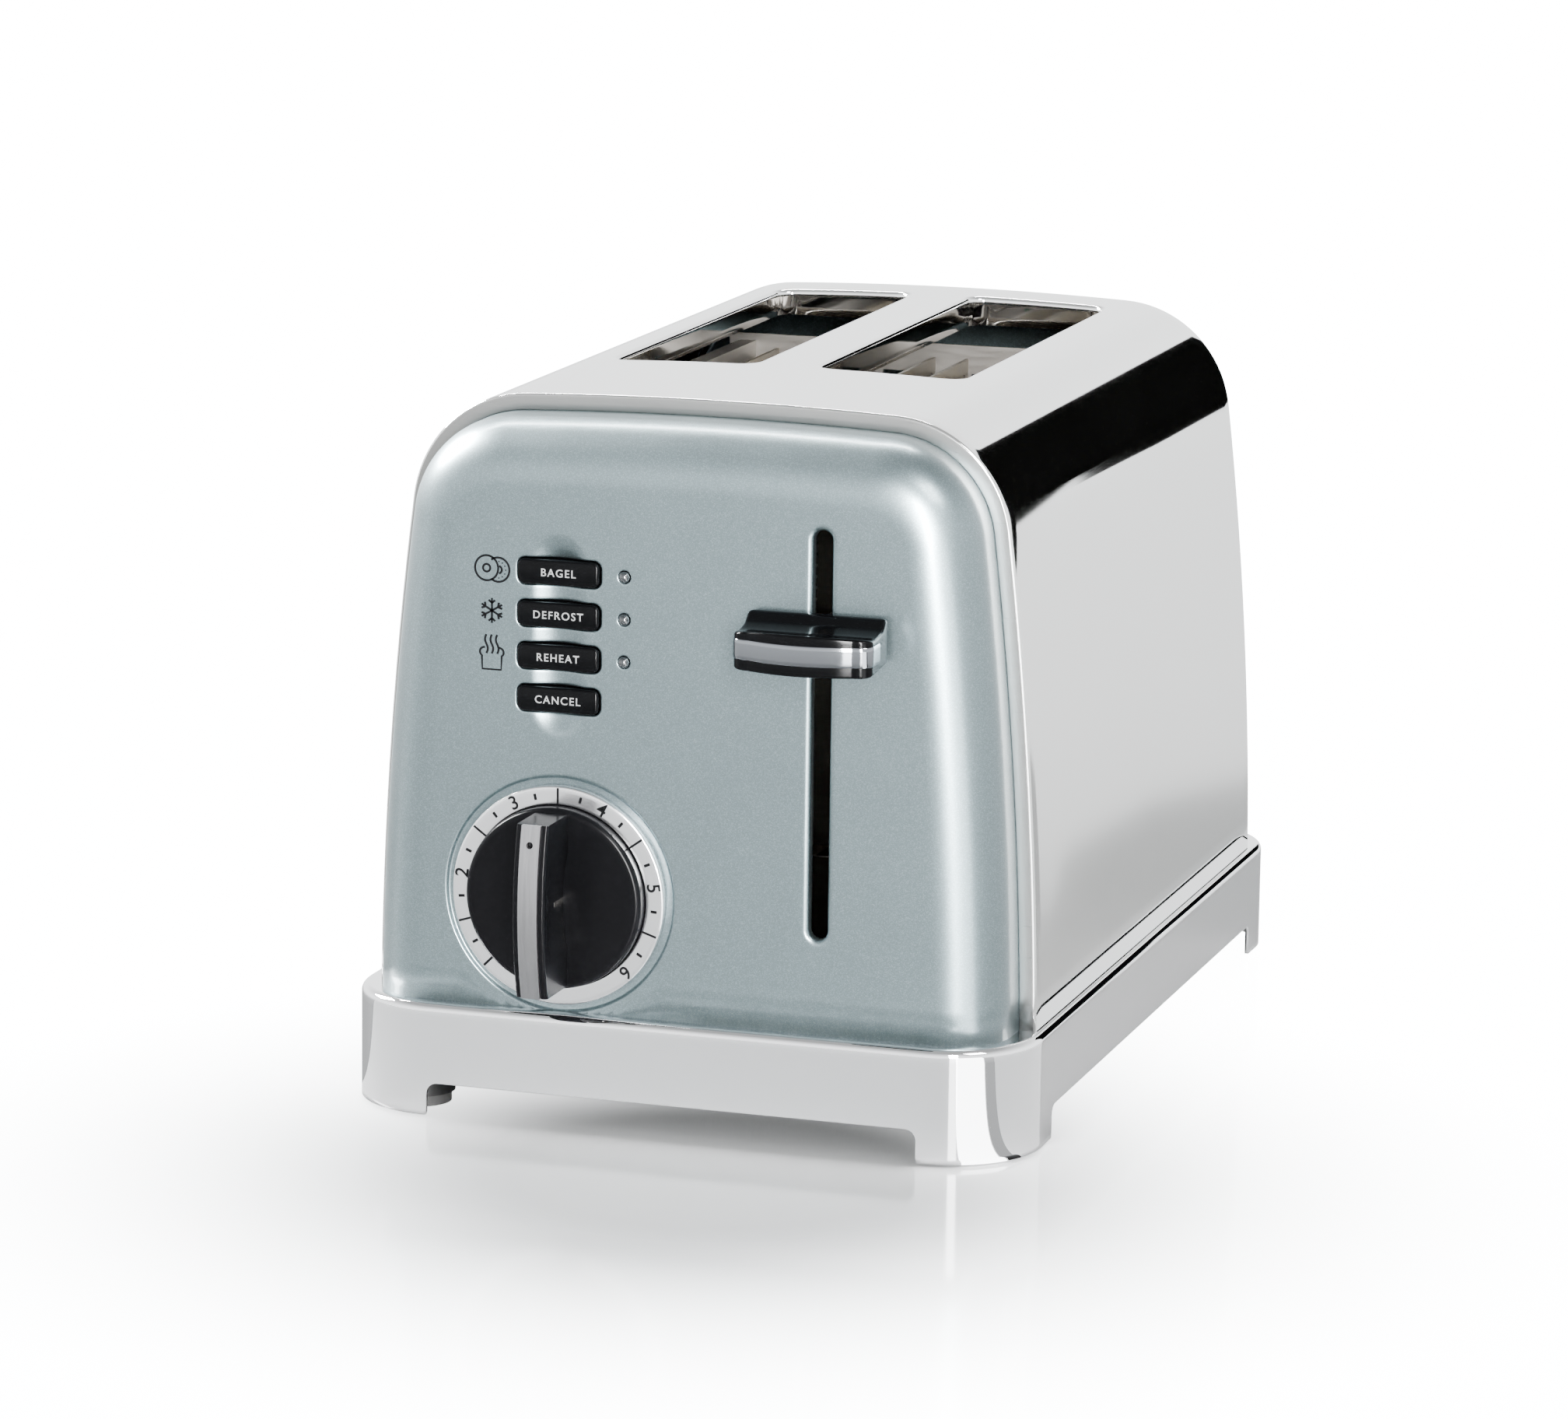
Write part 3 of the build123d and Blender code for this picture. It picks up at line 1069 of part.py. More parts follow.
def make_magnet_bracket():
    low = FLOOR_TOP
    high = MAGNET_TOP - MAGNET_HEIGHT
    with BuildPart() as magnet_bracket:
        with Locations((MAGNET_X, MAGNET_Y, (low + high) / 2)):
            Box(BRACKET_WIDTH, BRACKET_DEPTH, high - low)
            Box(BRACKET_WIDTH - 2 * SHEET, BRACKET_DEPTH + 2, high - low - 2 * SHEET,
                mode=Mode.SUBTRACT)
    save(magnet_bracket.part, "magnet_bracket")


# ---------------------------------------------------------------- wiring blocks, tray, screws
def make_contact_block():
    """The mains contacts that the carriage closes, in a block on the front plate."""
    front = -(CONTACT[1] + CONTACT_TONGUE[1] / 2) / 2
    with BuildPart() as contact_block:
        with Locations((CONTACT_X, PLATE_FRONT - SHEET - CONTACT[1] / 2, CONTACT_Z)):
            Box(*CONTACT)
            with Locations((0, front, CONTACT_TONGUE[0])):
                Box(*CONTACT_TONGUE)
    save(contact_block.part, "contact_block")


def make_terminal_block():
    front = PLATE_REAR + SHEET
    back = front + TERMINAL[1]
    with BuildPart() as terminal_block:
        with Locations((INLET_X, (front + back) / 2, TERMINAL_Z)):
            Box(*TERMINAL)
        with BuildSketch(facing_front(back + 1)):
            with Locations((INLET_X, TERMINAL_Z)):
                with GridLocations(TERMINAL_PITCH, 1, 2, 1):
                    Circle(TERMINAL_HOLE_RADIUS)
        extrude(amount=TERMINAL[1] * 0.7, mode=Mode.SUBTRACT)
    save(terminal_block.part, "terminal_block")


def make_crumb_tray():
    front = PLATE_FRONT + TRAY_START
    rear = BASE_REAR
    with BuildPart() as crumb_tray:
        with BuildSketch(Plane.XY.offset(TRAY_BOTTOM)):
            with Locations((0, (front + rear) / 2)):
                Rectangle(2 * TRAY_HALF_WIDTH, rear - front)
        extrude(amount=TRAY_HEIGHT)
        with BuildSketch(Plane.XY.offset(TRAY_BOTTOM + TRAY_WALL)):
            with Locations((0, (front + rear) / 2)):
                Rectangle(2 * (TRAY_HALF_WIDTH - TRAY_WALL), rear - front - 2 * TRAY_WALL)
        extrude(amount=TRAY_HEIGHT, mode=Mode.SUBTRACT)
    save(crumb_tray.part, "crumb_tray")


def make_tray_pull():
    with BuildPart() as tray_pull:
        with BuildSketch(facing_front(BASE_REAR + PULL_REACH)):
            with Locations((0, (TRAY_BOTTOM + TRAY_TOP) / 2)):
                RectangleRounded(2 * (TRAY_HALF_WIDTH + PULL_MARGIN),
                                 TRAY_HEIGHT + PULL_MARGIN + 1, PULL_MARGIN)
        extrude(amount=PULL_REACH)
        fillet(tray_pull.faces().sort_by(Axis.Y)[-1].edges(), PULL_ROUND)
        with BuildSketch(facing_front(BASE_REAR + PULL_REACH + 1)):
            with Locations((0, TRAY_BOTTOM + HEAD_SINK)):
                SlotOverall(*PULL_GRIP)
        extrude(amount=PULL_GRIP_DEPTH + 1, mode=Mode.SUBTRACT)
    save(tray_pull.part, "tray_pull")


def make_screws(name, places, shank, up):
    """Pan-head screws as one group: shank along +Z from the head if up, else along -Z."""
    way = 1 if up else -1
    with BuildPart() as screws:
        with Locations(*places):
            Cylinder(HEAD_RADIUS, HEAD_HEIGHT)
            with Locations((0, 0, way * (HEAD_HEIGHT + shank) / 2)):
                Cylinder(SCREW_RADIUS, shank)
    save(screws.part, name)


def main():
    make_base_skirt()
    make_bottom_plate()
    make_foot_pads()
    make_body_wrap()
    make_front_panel()
    make_rear_panel()
    make_cord_inlet()
    make_dial_bezel()
    make_dial_knob()
    make_knob_strip()
    make_knob_shaft()
    make_potentiometer()
    for name, z in zip(BUTTON_NAMES, BUTTON_HEIGHTS):
        make_button(name, z)
    make_tact_switches()
    make_led_lenses()
    make_leds()
    make_control_board()
    make_board_standoffs()
    make_button_housing()
    make_chassis_plate("chassis_front_plate", PLATE_FRONT - SHEET, PLATE_FRONT, True)
    make_chassis_plate("chassis_rear_plate", PLATE_REAR, PLATE_REAR + SHEET, False)
    for name, side in SIDES.items():
        make_reflector(f"{name}_reflector", side)
        make_bread_lifter(name, side * SLOT_X)
    for name, x in heater_places():
        make_heater_board(name, x)
        make_heater_ribbon(name, x)
    for name, x in guide_places():
        make_bread_guide(name, x)
    make_carriage_plate()
    make_carriage_bush()
    make_guide_rod()
    make_lever_stem()
    make_lever_handle()
    make_lever_trim()
    make_return_spring()
    make_armature()
    make_magnet_core()
    make_magnet_coil()
    make_magnet_bracket()
    make_contact_block()
    make_terminal_block()
    make_crumb_tray()
    make_tray_pull()
    corners = [(x * POST_X, MIDDLE + y * POST_Y) for x in (-1, 1) for y in (-1, 1)]
    low = FOOT_HEIGHT + HEAD_SINK + HEAD_HEIGHT / 2
    high = BASE_TOP + SHEET + HEAD_HEIGHT / 2
    make_screws("bottom_screws", [(x, y, low) for x, y in corners], BOTTOM_SHANK, True)
    make_screws("chassis_screws", [(x, y, high) for x, y in ear_places()], CHASSIS_SHANK, False)


main()
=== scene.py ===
"""The looks of a pop-up toaster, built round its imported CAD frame."""

import json
import math

import bpy
import bmesh
from mathutils import Matrix, Vector
from mathutils.geometry import delaunay_2d_cdt


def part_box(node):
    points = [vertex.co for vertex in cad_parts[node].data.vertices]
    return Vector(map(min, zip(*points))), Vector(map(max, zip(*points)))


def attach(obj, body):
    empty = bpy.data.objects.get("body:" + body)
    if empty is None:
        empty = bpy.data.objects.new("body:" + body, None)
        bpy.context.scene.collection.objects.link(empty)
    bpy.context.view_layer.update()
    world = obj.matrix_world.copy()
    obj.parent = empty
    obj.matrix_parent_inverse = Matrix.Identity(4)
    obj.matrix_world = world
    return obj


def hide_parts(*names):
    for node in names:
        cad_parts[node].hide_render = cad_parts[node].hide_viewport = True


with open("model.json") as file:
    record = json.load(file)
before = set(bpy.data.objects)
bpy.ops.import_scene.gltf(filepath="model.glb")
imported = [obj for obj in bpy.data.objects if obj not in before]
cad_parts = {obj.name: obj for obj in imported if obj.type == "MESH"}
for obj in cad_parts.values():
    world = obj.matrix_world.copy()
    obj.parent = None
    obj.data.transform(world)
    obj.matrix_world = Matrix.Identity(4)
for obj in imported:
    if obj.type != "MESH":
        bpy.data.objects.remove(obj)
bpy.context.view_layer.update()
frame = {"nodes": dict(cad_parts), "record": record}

# ---------------------------------------------------------------- sizes, in millimetres
MM = 0.001
SKIRT_LOW, SKIRT_HIGH = [[c / MM for c in corner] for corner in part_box("base_skirt")]
WRAP_LOW, WRAP_HIGH = [[c / MM for c in corner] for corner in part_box("body_wrap")]
PANEL_LOW = [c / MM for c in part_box("front_panel")[0]]
REAR_HIGH = [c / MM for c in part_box("rear_panel")[1]]
RING_LOW, RING_HIGH = [[c / MM for c in corner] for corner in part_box("dial_bezel")]
MIDDLE = (SKIRT_LOW[1] + SKIRT_HIGH[1]) / 2
HEIGHT = 192.0
BASE_TOP = SKIRT_HIGH[2]
BASE_CORNER = 26.0
BASE_ROUND = 2.2
LEDGE_DEPTH = 15.0
NOTCH_TOP = 9.6
NOTCH_HALF_X = 67.5
NOTCH_HALF_Y = 108.0
NOTCH_ROUND = 3.0
WRAP_HALF_WIDTH = 91.4
SIDE_RADIUS = 1160.0
SIDE_LEVEL = 15.0
TOP_RADIUS = 1100.0
SHOULDER = 33.0
WRAP_RIM = 4.2
RIM_ROUND = 0.9
WRAP_FRONT = WRAP_LOW[1]
WRAP_REAR = WRAP_HIGH[1]
PANEL_INSET = 4.5
PANEL_ROUND = 16.0
FACE = PANEL_LOW[1]
BACK_FACE = REAR_HIGH[1]
SLOT_WIDTH = 40.0
SLOT_LENGTH = 150.0
SLOT_CORNER = 5.0
SLOT_X = 29.0
SLOT_Y = MIDDLE + 24.0
LIP_DEPTH = 9.0
LIP_ROUND = 1.4
DIAL_X = (RING_LOW[0] + RING_HIGH[0]) / 2
DIAL_Z = (RING_LOW[2] + RING_HIGH[2]) / 2
DIAL_RADIUS = (RING_HIGH[0] - RING_LOW[0]) / 2
RING_WIDTH = 5.1
KNOB_RADIUS = DIAL_RADIUS - RING_WIDTH
NUMBER_RADIUS = (DIAL_RADIUS + KNOB_RADIUS) / 2
SYMBOL_X = -51.2


# ---------------------------------------------------------------- mesh helpers
def mesh_piece(name, verts, faces, material, smooth=True):
    """A piece from points in millimetres, welded, with its faces turned outwards."""
    mesh = bpy.data.meshes.new(name)
    mesh.from_pydata([tuple(c * MM for c in v) for v in verts], [], faces)
    work = bmesh.new()
    work.from_mesh(mesh)
    bmesh.ops.remove_doubles(work, verts=work.verts, dist=2e-6)
    bmesh.ops.dissolve_degenerate(work, edges=work.edges, dist=1e-7)
    bmesh.ops.recalc_face_normals(work, faces=work.faces)
    work.to_mesh(mesh)
    work.free()
    piece = bpy.data.objects.new(name, mesh)
    bpy.context.scene.collection.objects.link(piece)
    mesh.materials.append(material)
    for polygon in mesh.polygons:
        polygon.use_smooth = smooth
    return piece


def apply_modifiers(piece):
    """Turns a piece's modifiers into plain mesh."""
    graph = bpy.context.evaluated_depsgraph_get()
    done = bpy.data.meshes.new_from_object(piece.evaluated_get(graph))
    piece.modifiers.clear()
    piece.data = done
    return piece


def thicken(piece, wall, even=True):
    """Gives a skin its wall, inwards."""
    solid = piece.modifiers.new("wall", "SOLIDIFY")
    solid.thickness = wall * MM
    solid.offset = -1.0
    solid.use_even_offset = even
    return apply_modifiers(piece)


def sharpen(piece, degrees):
    """Keeps edges crisp where the surface turns by more than this."""
    piece.data.set_sharp_from_angle(angle=math.radians(degrees))
    return piece


def face_towards(piece, outward):
    """Turns a skin's faces over if most of them look away from outward(centre)."""
    mesh = piece.data
    score = sum(p.area * p.normal.dot(outward(p.center)) for p in mesh.polygons)
    if score < 0:
        mesh.flip_normals()
    return piece


def rounded_rect(cx, cy, width, height, radius, grow=0.0, arc=6, side=(1, 1)):
    """Points round a rounded rectangle, grown outwards; side gives extra points per straight."""
    half_w, half_h, r = width / 2 + grow, height / 2 + grow, max(radius + grow, 0.01)
    points = []
    corners = [(1, 1, 0), (-1, 1, 1), (-1, -1, 2), (1, -1, 3)]
    for sx, sy, quarter in corners:
        ox, oy = cx + sx * (half_w - r), cy + sy * (half_h - r)
        for i in range(arc + 1):
            a = (quarter + i / arc) * math.pi / 2
            points.append((ox + r * math.cos(a), oy + r * math.sin(a)))
    full = []
    count = len(points)
    for i, p in enumerate(points):
        full.append(p)
        if (i + 1) % (arc + 1) == 0:
            q = points[(i + 1) % count]
            steps = side[0] if (i // (arc + 1)) % 2 == 0 else side[1]
            for k in range(1, steps):
                full.append((p[0] + (q[0] - p[0]) * k / steps, p[1] + (q[1] - p[1]) * k / steps))
    return full


def ring(cx, cy, radius, count=96):
    return [(cx + radius * math.cos(2 * math.pi * i / count),
             cy + radius * math.sin(2 * math.pi * i / count)) for i in range(count)]


def inside(point, loop):
    x, y = point
    hit = False
    for (ax, ay), (bx, by) in zip(loop, loop[1:] + loop[:1]):
        if (ay > y) != (by > y) and x < (bx - ax) * (y - ay) / (by - ay) + ax:
            hit = not hit
    return hit


def fill_plate(outer, holes, extra=()):
    """Triangles of a flat plate between an outer loop and its holes, through the extra points."""
    points, edges = [], []
    for loop in [outer] + holes:
        start = len(points)
        points += loop
        edges += [(start + i, start + (i + 1) % len(loop)) for i in range(len(loop))]
    points += list(extra)
    verts, _, faces, *_ = delaunay_2d_cdt([Vector(p) for p in points], edges, [], 0, 1e-6)
    kept = []
    for face in faces:
        cx = sum(verts[i].x for i in face) / len(face)
        cy = sum(verts[i].y for i in face) / len(face)
        if inside((cx, cy), outer) and not any(inside((cx, cy), hole) for hole in holes):
            kept.append(list(face))
    return [(v.x, v.y) for v in verts], kept


class Skin:
    """Collects points and faces of one piece."""

    def __init__(self):
        self.verts = []
        self.faces = []

    def loop(self, points):
        start = len(self.verts)
        self.verts += points
        return list(range(start, start + len(points)))

    def bridge(self, a, b, closed=True):
        count = len(a)
        for i in range(count if closed else count - 1):
            j = (i + 1) % count
            self.faces.append((a[i], a[j], b[j], b[i]))

    def rows(self, rows, closed=True):
        loops = [self.loop(row) for row in rows]
        for a, b in zip(loops, loops[1:]):
            self.bridge(a, b, closed)
        return loops

    def patch(self, points, faces):
        start = len(self.verts)
        self.verts += points
        self.faces += [tuple(start + i for i in face) for face in faces]

    def cap(self, loop):
        self.faces.append(tuple(loop))


# ---------------------------------------------------------------- the arch
def shoulder_centre():
    """Centre of the shoulder arc, which touches the barrel side and the crowned top."""
    sx, sz = WRAP_HALF_WIDTH - SIDE_RADIUS, SIDE_LEVEL
    tz = HEIGHT - TOP_RADIUS
    rs, rt = SIDE_RADIUS - SHOULDER, TOP_RADIUS - SHOULDER
    dx, dz = -sx, tz - sz
    d = math.hypot(dx, dz)
    a = (rs ** 2 - rt ** 2 + d ** 2) / (2 * d)
    h = math.sqrt(rs ** 2 - a ** 2)
    px, pz = sx + a * dx / d, sz + a * dz / d
    options = [(px - h * dz / d, pz + h * dx / d), (px + h * dz / d, pz - h * dx / d)]
    return max(options, key=lambda p: p[1])


CENTRE = shoulder_centre()
SIDE_CENTRE = (WRAP_HALF_WIDTH - SIDE_RADIUS, SIDE_LEVEL)
TOP_CENTRE = (0.0, HEIGHT - TOP_RADIUS)
SIDE_END = math.atan2(CENTRE[1] - SIDE_CENTRE[1], CENTRE[0] - SIDE_CENTRE[0])
TOP_START = math.atan2(CENTRE[1] - TOP_CENTRE[1], CENTRE[0] - TOP_CENTRE[0])


def half_arch(inset, foot, side_steps=14, shoulder_steps=20):
    """Right half of the arch from the foot up to where the top begins, as (x, z)."""
    rs = SIDE_RADIUS - inset
    start = math.asin((foot - SIDE_LEVEL) / rs)
    points = []
    for i in range(side_steps):
        a = start + (SIDE_END - start) * i / side_steps
        points.append((SIDE_CENTRE[0] + rs * math.cos(a), SIDE_CENTRE[1] + rs * math.sin(a)))
    r = SHOULDER - inset
    for i in range(shoulder_steps + 1):
        a = SIDE_END + (TOP_START - SIDE_END) * i / shoulder_steps
        points.append((CENTRE[0] + r * math.cos(a), CENTRE[1] + r * math.sin(a)))
    return points


def top_line(inset, shares):
    """Points along the crowned top; shares run from 1 at the right end to -1 at the left."""
    rt = TOP_RADIUS - inset
    half = math.pi / 2 - TOP_START
    return [(rt * math.sin(half * s), TOP_CENTRE[1] + rt * math.cos(half * s)) for s in shares]


def full_arch(inset, foot, shares):
    right = half_arch(inset, foot)
    left = [(-x, z) for x, z in reversed(right)]
    return right + top_line(inset, shares)[1:-1] + left


# ---------------------------------------------------------------- shader groups
def new_group(name, inputs, outputs):
    """A shader group with named inputs (name, kind, default) and outputs (name, kind)."""
    group = bpy.data.node_groups.new(name, "ShaderNodeTree")
    for label, kind, default in inputs:
        socket = group.interface.new_socket(label, in_out="INPUT", socket_type=kind)
        socket.default_value = default
    for label, kind in outputs:
        group.interface.new_socket(label, in_out="OUTPUT", socket_type=kind)
    return group, group.nodes.new("NodeGroupInput"), group.nodes.new("NodeGroupOutput")


def math_node(tree, kind, a, b=None, clamp=False):
    node = tree.nodes.new("ShaderNodeMath")
    node.operation = kind
    node.use_clamp = clamp
    for slot, value in ((0, a), (1, b)):
        if value is None:
            continue
        if isinstance(value, (int, float)):
            node.inputs[slot].default_value = value
        else:
            tree.links.new(value, node.inputs[slot])
    return node.outputs[0]


def group_smudge():
    """Faint cleaning marks: a soft roughness value that changes over the surface."""
    group, source, out = new_group(
        "cleaning_marks",
        [("Base", "NodeSocketFloat", 0.05), ("Spread", "NodeSocketFloat", 0.03),
         ("Scale", "NodeSocketFloat", 30.0)],
        [("Roughness", "NodeSocketFloat")])
    place = group.nodes.new("ShaderNodeTexCoord")
    noise = group.nodes.new("ShaderNodeTexNoise")
    noise.inputs["Detail"].default_value = 4.0
    group.links.new(place.outputs["Object"], noise.inputs["Vector"])
    group.links.new(source.outputs["Scale"], noise.inputs["Scale"])
    spread = math_node(group, "MULTIPLY", noise.outputs["Fac"], source.outputs["Spread"])
    group.links.new(math_node(group, "ADD", spread, source.outputs["Base"]),
                    out.inputs["Roughness"])
    return group


def group_brushed():
    """Fine parallel brushing: a roughness value and a height, stretched along one axis."""
    group, source, out = new_group(
        "brushing",
        [("Stretch", "NodeSocketVector", (1.0, 1.0, 40.0)), ("Base", "NodeSocketFloat", 0.3),
         ("Spread", "NodeSocketFloat", 0.2)],
        [("Roughness", "NodeSocketFloat"), ("Height", "NodeSocketFloat")])
    place = group.nodes.new("ShaderNodeTexCoord")
    stretch = group.nodes.new("ShaderNodeVectorMath")
    stretch.operation = "MULTIPLY"
    noise = group.nodes.new("ShaderNodeTexNoise")
    noise.inputs["Scale"].default_value = 60.0
    noise.inputs["Detail"].default_value = 6.0
    group.links.new(place.outputs["Object"], stretch.inputs[0])
    group.links.new(source.outputs["Stretch"], stretch.inputs[1])
    group.links.new(stretch.outputs[0], noise.inputs["Vector"])
    spread = math_node(group, "MULTIPLY", noise.outputs["Fac"], source.outputs["Spread"])
    group.links.new(math_node(group, "ADD", spread, source.outputs["Base"]),
                    out.inputs["Roughness"])
    group.links.new(noise.outputs["Fac"], out.inputs["Height"])
    return group


def group_flake():
    """Metallic paint: tiny flakes that lighten the colour, and a soft orange-peel height."""
    group, source, out = new_group(
        "metallic_flake",
        [("Colour", "NodeSocketColor", (0.3, 0.35, 0.36, 1)), ("Flake", "NodeSocketColor",
                                                               (0.6, 0.68, 0.68, 1)),
         ("Amount", "NodeSocketFloat", 0.5)],
        [("Colour", "NodeSocketColor"), ("Height", "NodeSocketFloat")])
    place = group.nodes.new("ShaderNodeTexCoord")
    cells = group.nodes.new("ShaderNodeTexVoronoi")
    cells.inputs["Scale"].default_value = 5200.0
    group.links.new(place.outputs["Object"], cells.inputs["Vector"])
    split = group.nodes.new("ShaderNodeSeparateColor")
    group.links.new(cells.outputs["Color"], split.inputs[0])
    flake = math_node(group, "POWER", split.outputs[0], 3.0)
    mask = math_node(group, "MULTIPLY", flake, source.outputs["Amount"], True)
    mix = group.nodes.new("ShaderNodeMix")
    mix.data_type = "RGBA"
    group.links.new(mask, mix.inputs[0])
    group.links.new(source.outputs["Colour"], mix.inputs[6])
    group.links.new(source.outputs["Flake"], mix.inputs[7])
    group.links.new(mix.outputs[2], out.inputs["Colour"])
    peel = group.nodes.new("ShaderNodeTexNoise")
    peel.inputs["Scale"].default_value = 420.0
    group.links.new(place.outputs["Object"], peel.inputs["Vector"])
    group.links.new(peel.outputs["Fac"], out.inputs["Height"])
    return group


def group_mottle():
    """Gentle colour and height variation for moulded, oxidised or pressed surfaces."""
    group, source, out = new_group(
        "mottle",
        [("Colour", "NodeSocketColor", (0.1, 0.1, 0.1, 1)), ("Second", "NodeSocketColor",
                                                             (0.12, 0.12, 0.12, 1)),
         ("Scale", "NodeSocketFloat", 60.0), ("Base", "NodeSocketFloat", 0.4),
         ("Spread", "NodeSocketFloat", 0.15)],
        [("Colour", "NodeSocketColor"), ("Roughness", "NodeSocketFloat"),
         ("Height", "NodeSocketFloat")])
    place = group.nodes.new("ShaderNodeTexCoord")
    noise = group.nodes.new("ShaderNodeTexNoise")
    noise.inputs["Detail"].default_value = 5.0
    group.links.new(place.outputs["Object"], noise.inputs["Vector"])
    group.links.new(source.outputs["Scale"], noise.inputs["Scale"])
    mix = group.nodes.new("ShaderNodeMix")
    mix.data_type = "RGBA"
    group.links.new(noise.outputs["Fac"], mix.inputs[0])
    group.links.new(source.outputs["Colour"], mix.inputs[6])
    group.links.new(source.outputs["Second"], mix.inputs[7])
    group.links.new(mix.outputs[2], out.inputs["Colour"])
    spread = math_node(group, "MULTIPLY", noise.outputs["Fac"], source.outputs["Spread"])
    group.links.new(math_node(group, "ADD", spread, source.outputs["Base"]),
                    out.inputs["Roughness"])
    fine = group.nodes.new("ShaderNodeTexNoise")
    fine.inputs["Scale"].default_value = 1500.0
    group.links.new(place.outputs["Object"], fine.inputs["Vector"])
    group.links.new(fine.outputs["Fac"], out.inputs["Height"])
    return group


def group_edge_wear():
    """A mask that is 1 on sharp outer edges, broken up by noise."""
    group, source, out = new_group(
        "edge_wear",
        [("Width", "NodeSocketFloat", 0.0006), ("Amount", "NodeSocketFloat", 0.5)],
        [("Mask", "NodeSocketFloat")])
    geometry = group.nodes.new("ShaderNodeNewGeometry")
    point = math_node(group, "SUBTRACT", geometry.outputs["Pointiness"], 0.52)
    sharp = math_node(group, "MULTIPLY", point, 12.0, True)
    place = group.nodes.new("ShaderNodeTexCoord")
    noise = group.nodes.new("ShaderNodeTexNoise")
    noise.inputs["Scale"].default_value = 140.0
    group.links.new(place.outputs["Object"], noise.inputs["Vector"])
    broken = math_node(group, "MULTIPLY", sharp, noise.outputs["Fac"])
    group.links.new(math_node(group, "MULTIPLY", broken, source.outputs["Amount"], True),
                    out.inputs["Mask"])
    return group


SMUDGE = group_smudge()
BRUSHED = group_brushed()
FLAKE = group_flake()
MOTTLE = group_mottle()
WEAR = group_edge_wear()


# ---------------------------------------------------------------- materials
def start_material(name):
    material = bpy.data.materials.new(name)
    material.use_nodes = True
    shader = material.node_tree.nodes["Principled BSDF"]
    return material, material.node_tree, shader


def place_group(tree, group, **values):
    node = tree.nodes.new("ShaderNodeGroup")
    node.node_tree = group
    for label, value in values.items():
        node.inputs[label].default_value = value
    return node


def bump(tree, shader, height, strength, distance):
    node = tree.nodes.new("ShaderNodeBump")
    node.inputs["Strength"].default_value = strength
    node.inputs["Distance"].default_value = distance
    tree.links.new(height, node.inputs["Height"])
    tree.links.new(node.outputs["Normal"], shader.inputs["Normal"])


def polished_metal(name, colour, base, spread, scale=30.0):
    """Mirror-polished steel or chrome with faint cleaning marks."""
    material, tree, shader = start_material(name)
    marks = place_group(tree, SMUDGE, Base=base, Spread=spread, Scale=scale)
    tint = place_group(tree, MOTTLE, Colour=(*colour, 1), Second=(*[c * 0.97 for c in colour], 1),
                       Scale=12.0)
    tree.links.new(tint.outputs["Colour"], shader.inputs["Base Color"])
    tree.links.new(marks.outputs["Roughness"], shader.inputs["Roughness"])
    shader.inputs["Metallic"].default_value = 1.0
    return material


def brushed_metal(name, colour, stretch, base=0.28, spread=0.25):
    material, tree, shader = start_material(name)
    grain = place_group(tree, BRUSHED, Stretch=stretch, Base=base, Spread=spread)
    tint = place_group(tree, MOTTLE, Colour=(*colour, 1), Second=(*[c * 0.9 for c in colour], 1),
                       Scale=25.0)
    tree.links.new(tint.outputs["Colour"], shader.inputs["Base Color"])
    tree.links.new(grain.outputs["Roughness"], shader.inputs["Roughness"])
    shader.inputs["Metallic"].default_value = 1.0
    bump(tree, shader, grain.outputs["Height"], 0.08, 0.0001)
    return material


def metallic_paint(name, colour, flake):
    """Grey-green metallic lacquer under a clear coat."""
    material, tree, shader = start_material(name)
    paint = place_group(tree, FLAKE, Colour=(*colour, 1), Flake=(*flake, 1), Amount=0.3)
    wear = place_group(tree, WEAR, Amount=0.2)
    mix = tree.nodes.new("ShaderNodeMix")
    mix.data_type = "RGBA"
    tree.links.new(wear.outputs["Mask"], mix.inputs[0])
    tree.links.new(paint.outputs["Colour"], mix.inputs[6])
    mix.inputs[7].default_value = (*flake, 1)
    tree.links.new(mix.outputs[2], shader.inputs["Base Color"])
    shader.inputs["Metallic"].default_value = 0.86
    marks = place_group(tree, SMUDGE, Base=0.29, Spread=0.05, Scale=45.0)
    tree.links.new(marks.outputs["Roughness"], shader.inputs["Roughness"])
    shader.inputs["Coat Weight"].default_value = 0.35
    shader.inputs["Coat Roughness"].default_value = 0.12
    bump(tree, shader, paint.outputs["Height"], 0.05, 0.0001)
    return material


def moulded(name, colour, second, base, spread, scale=60.0, grain=0.1, metallic=0.0, coat=0.0,
            wear_colour=None,
            shine=0.5):
    """Moulded plastic, rubber, mica or plain sheet: mottled colour, fine grain."""
    material, tree, shader = start_material(name)
    look = place_group(tree, MOTTLE, Colour=(*colour, 1), Second=(*second, 1), Scale=scale,
                       Base=base, Spread=spread)
    colour_out = look.outputs["Colour"]
    if wear_colour:
        wear = place_group(tree, WEAR, Amount=0.6)
        mix = tree.nodes.new("ShaderNodeMix")
        mix.data_type = "RGBA"
        tree.links.new(wear.outputs["Mask"], mix.inputs[0])
        tree.links.new(colour_out, mix.inputs[6])
        mix.inputs[7].default_value = (*wear_colour, 1)
        colour_out = mix.outputs[2]
    tree.links.new(colour_out, shader.inputs["Base Color"])
    tree.links.new(look.outputs["Roughness"], shader.inputs["Roughness"])
    shader.inputs["Metallic"].default_value = metallic
    shader.inputs["Coat Weight"].default_value = coat
    shader.inputs["Coat Roughness"].default_value = 0.04
    shader.inputs["Specular IOR Level"].default_value = shine
    bump(tree, shader, look.outputs["Height"], grain, 0.00008)
    return material


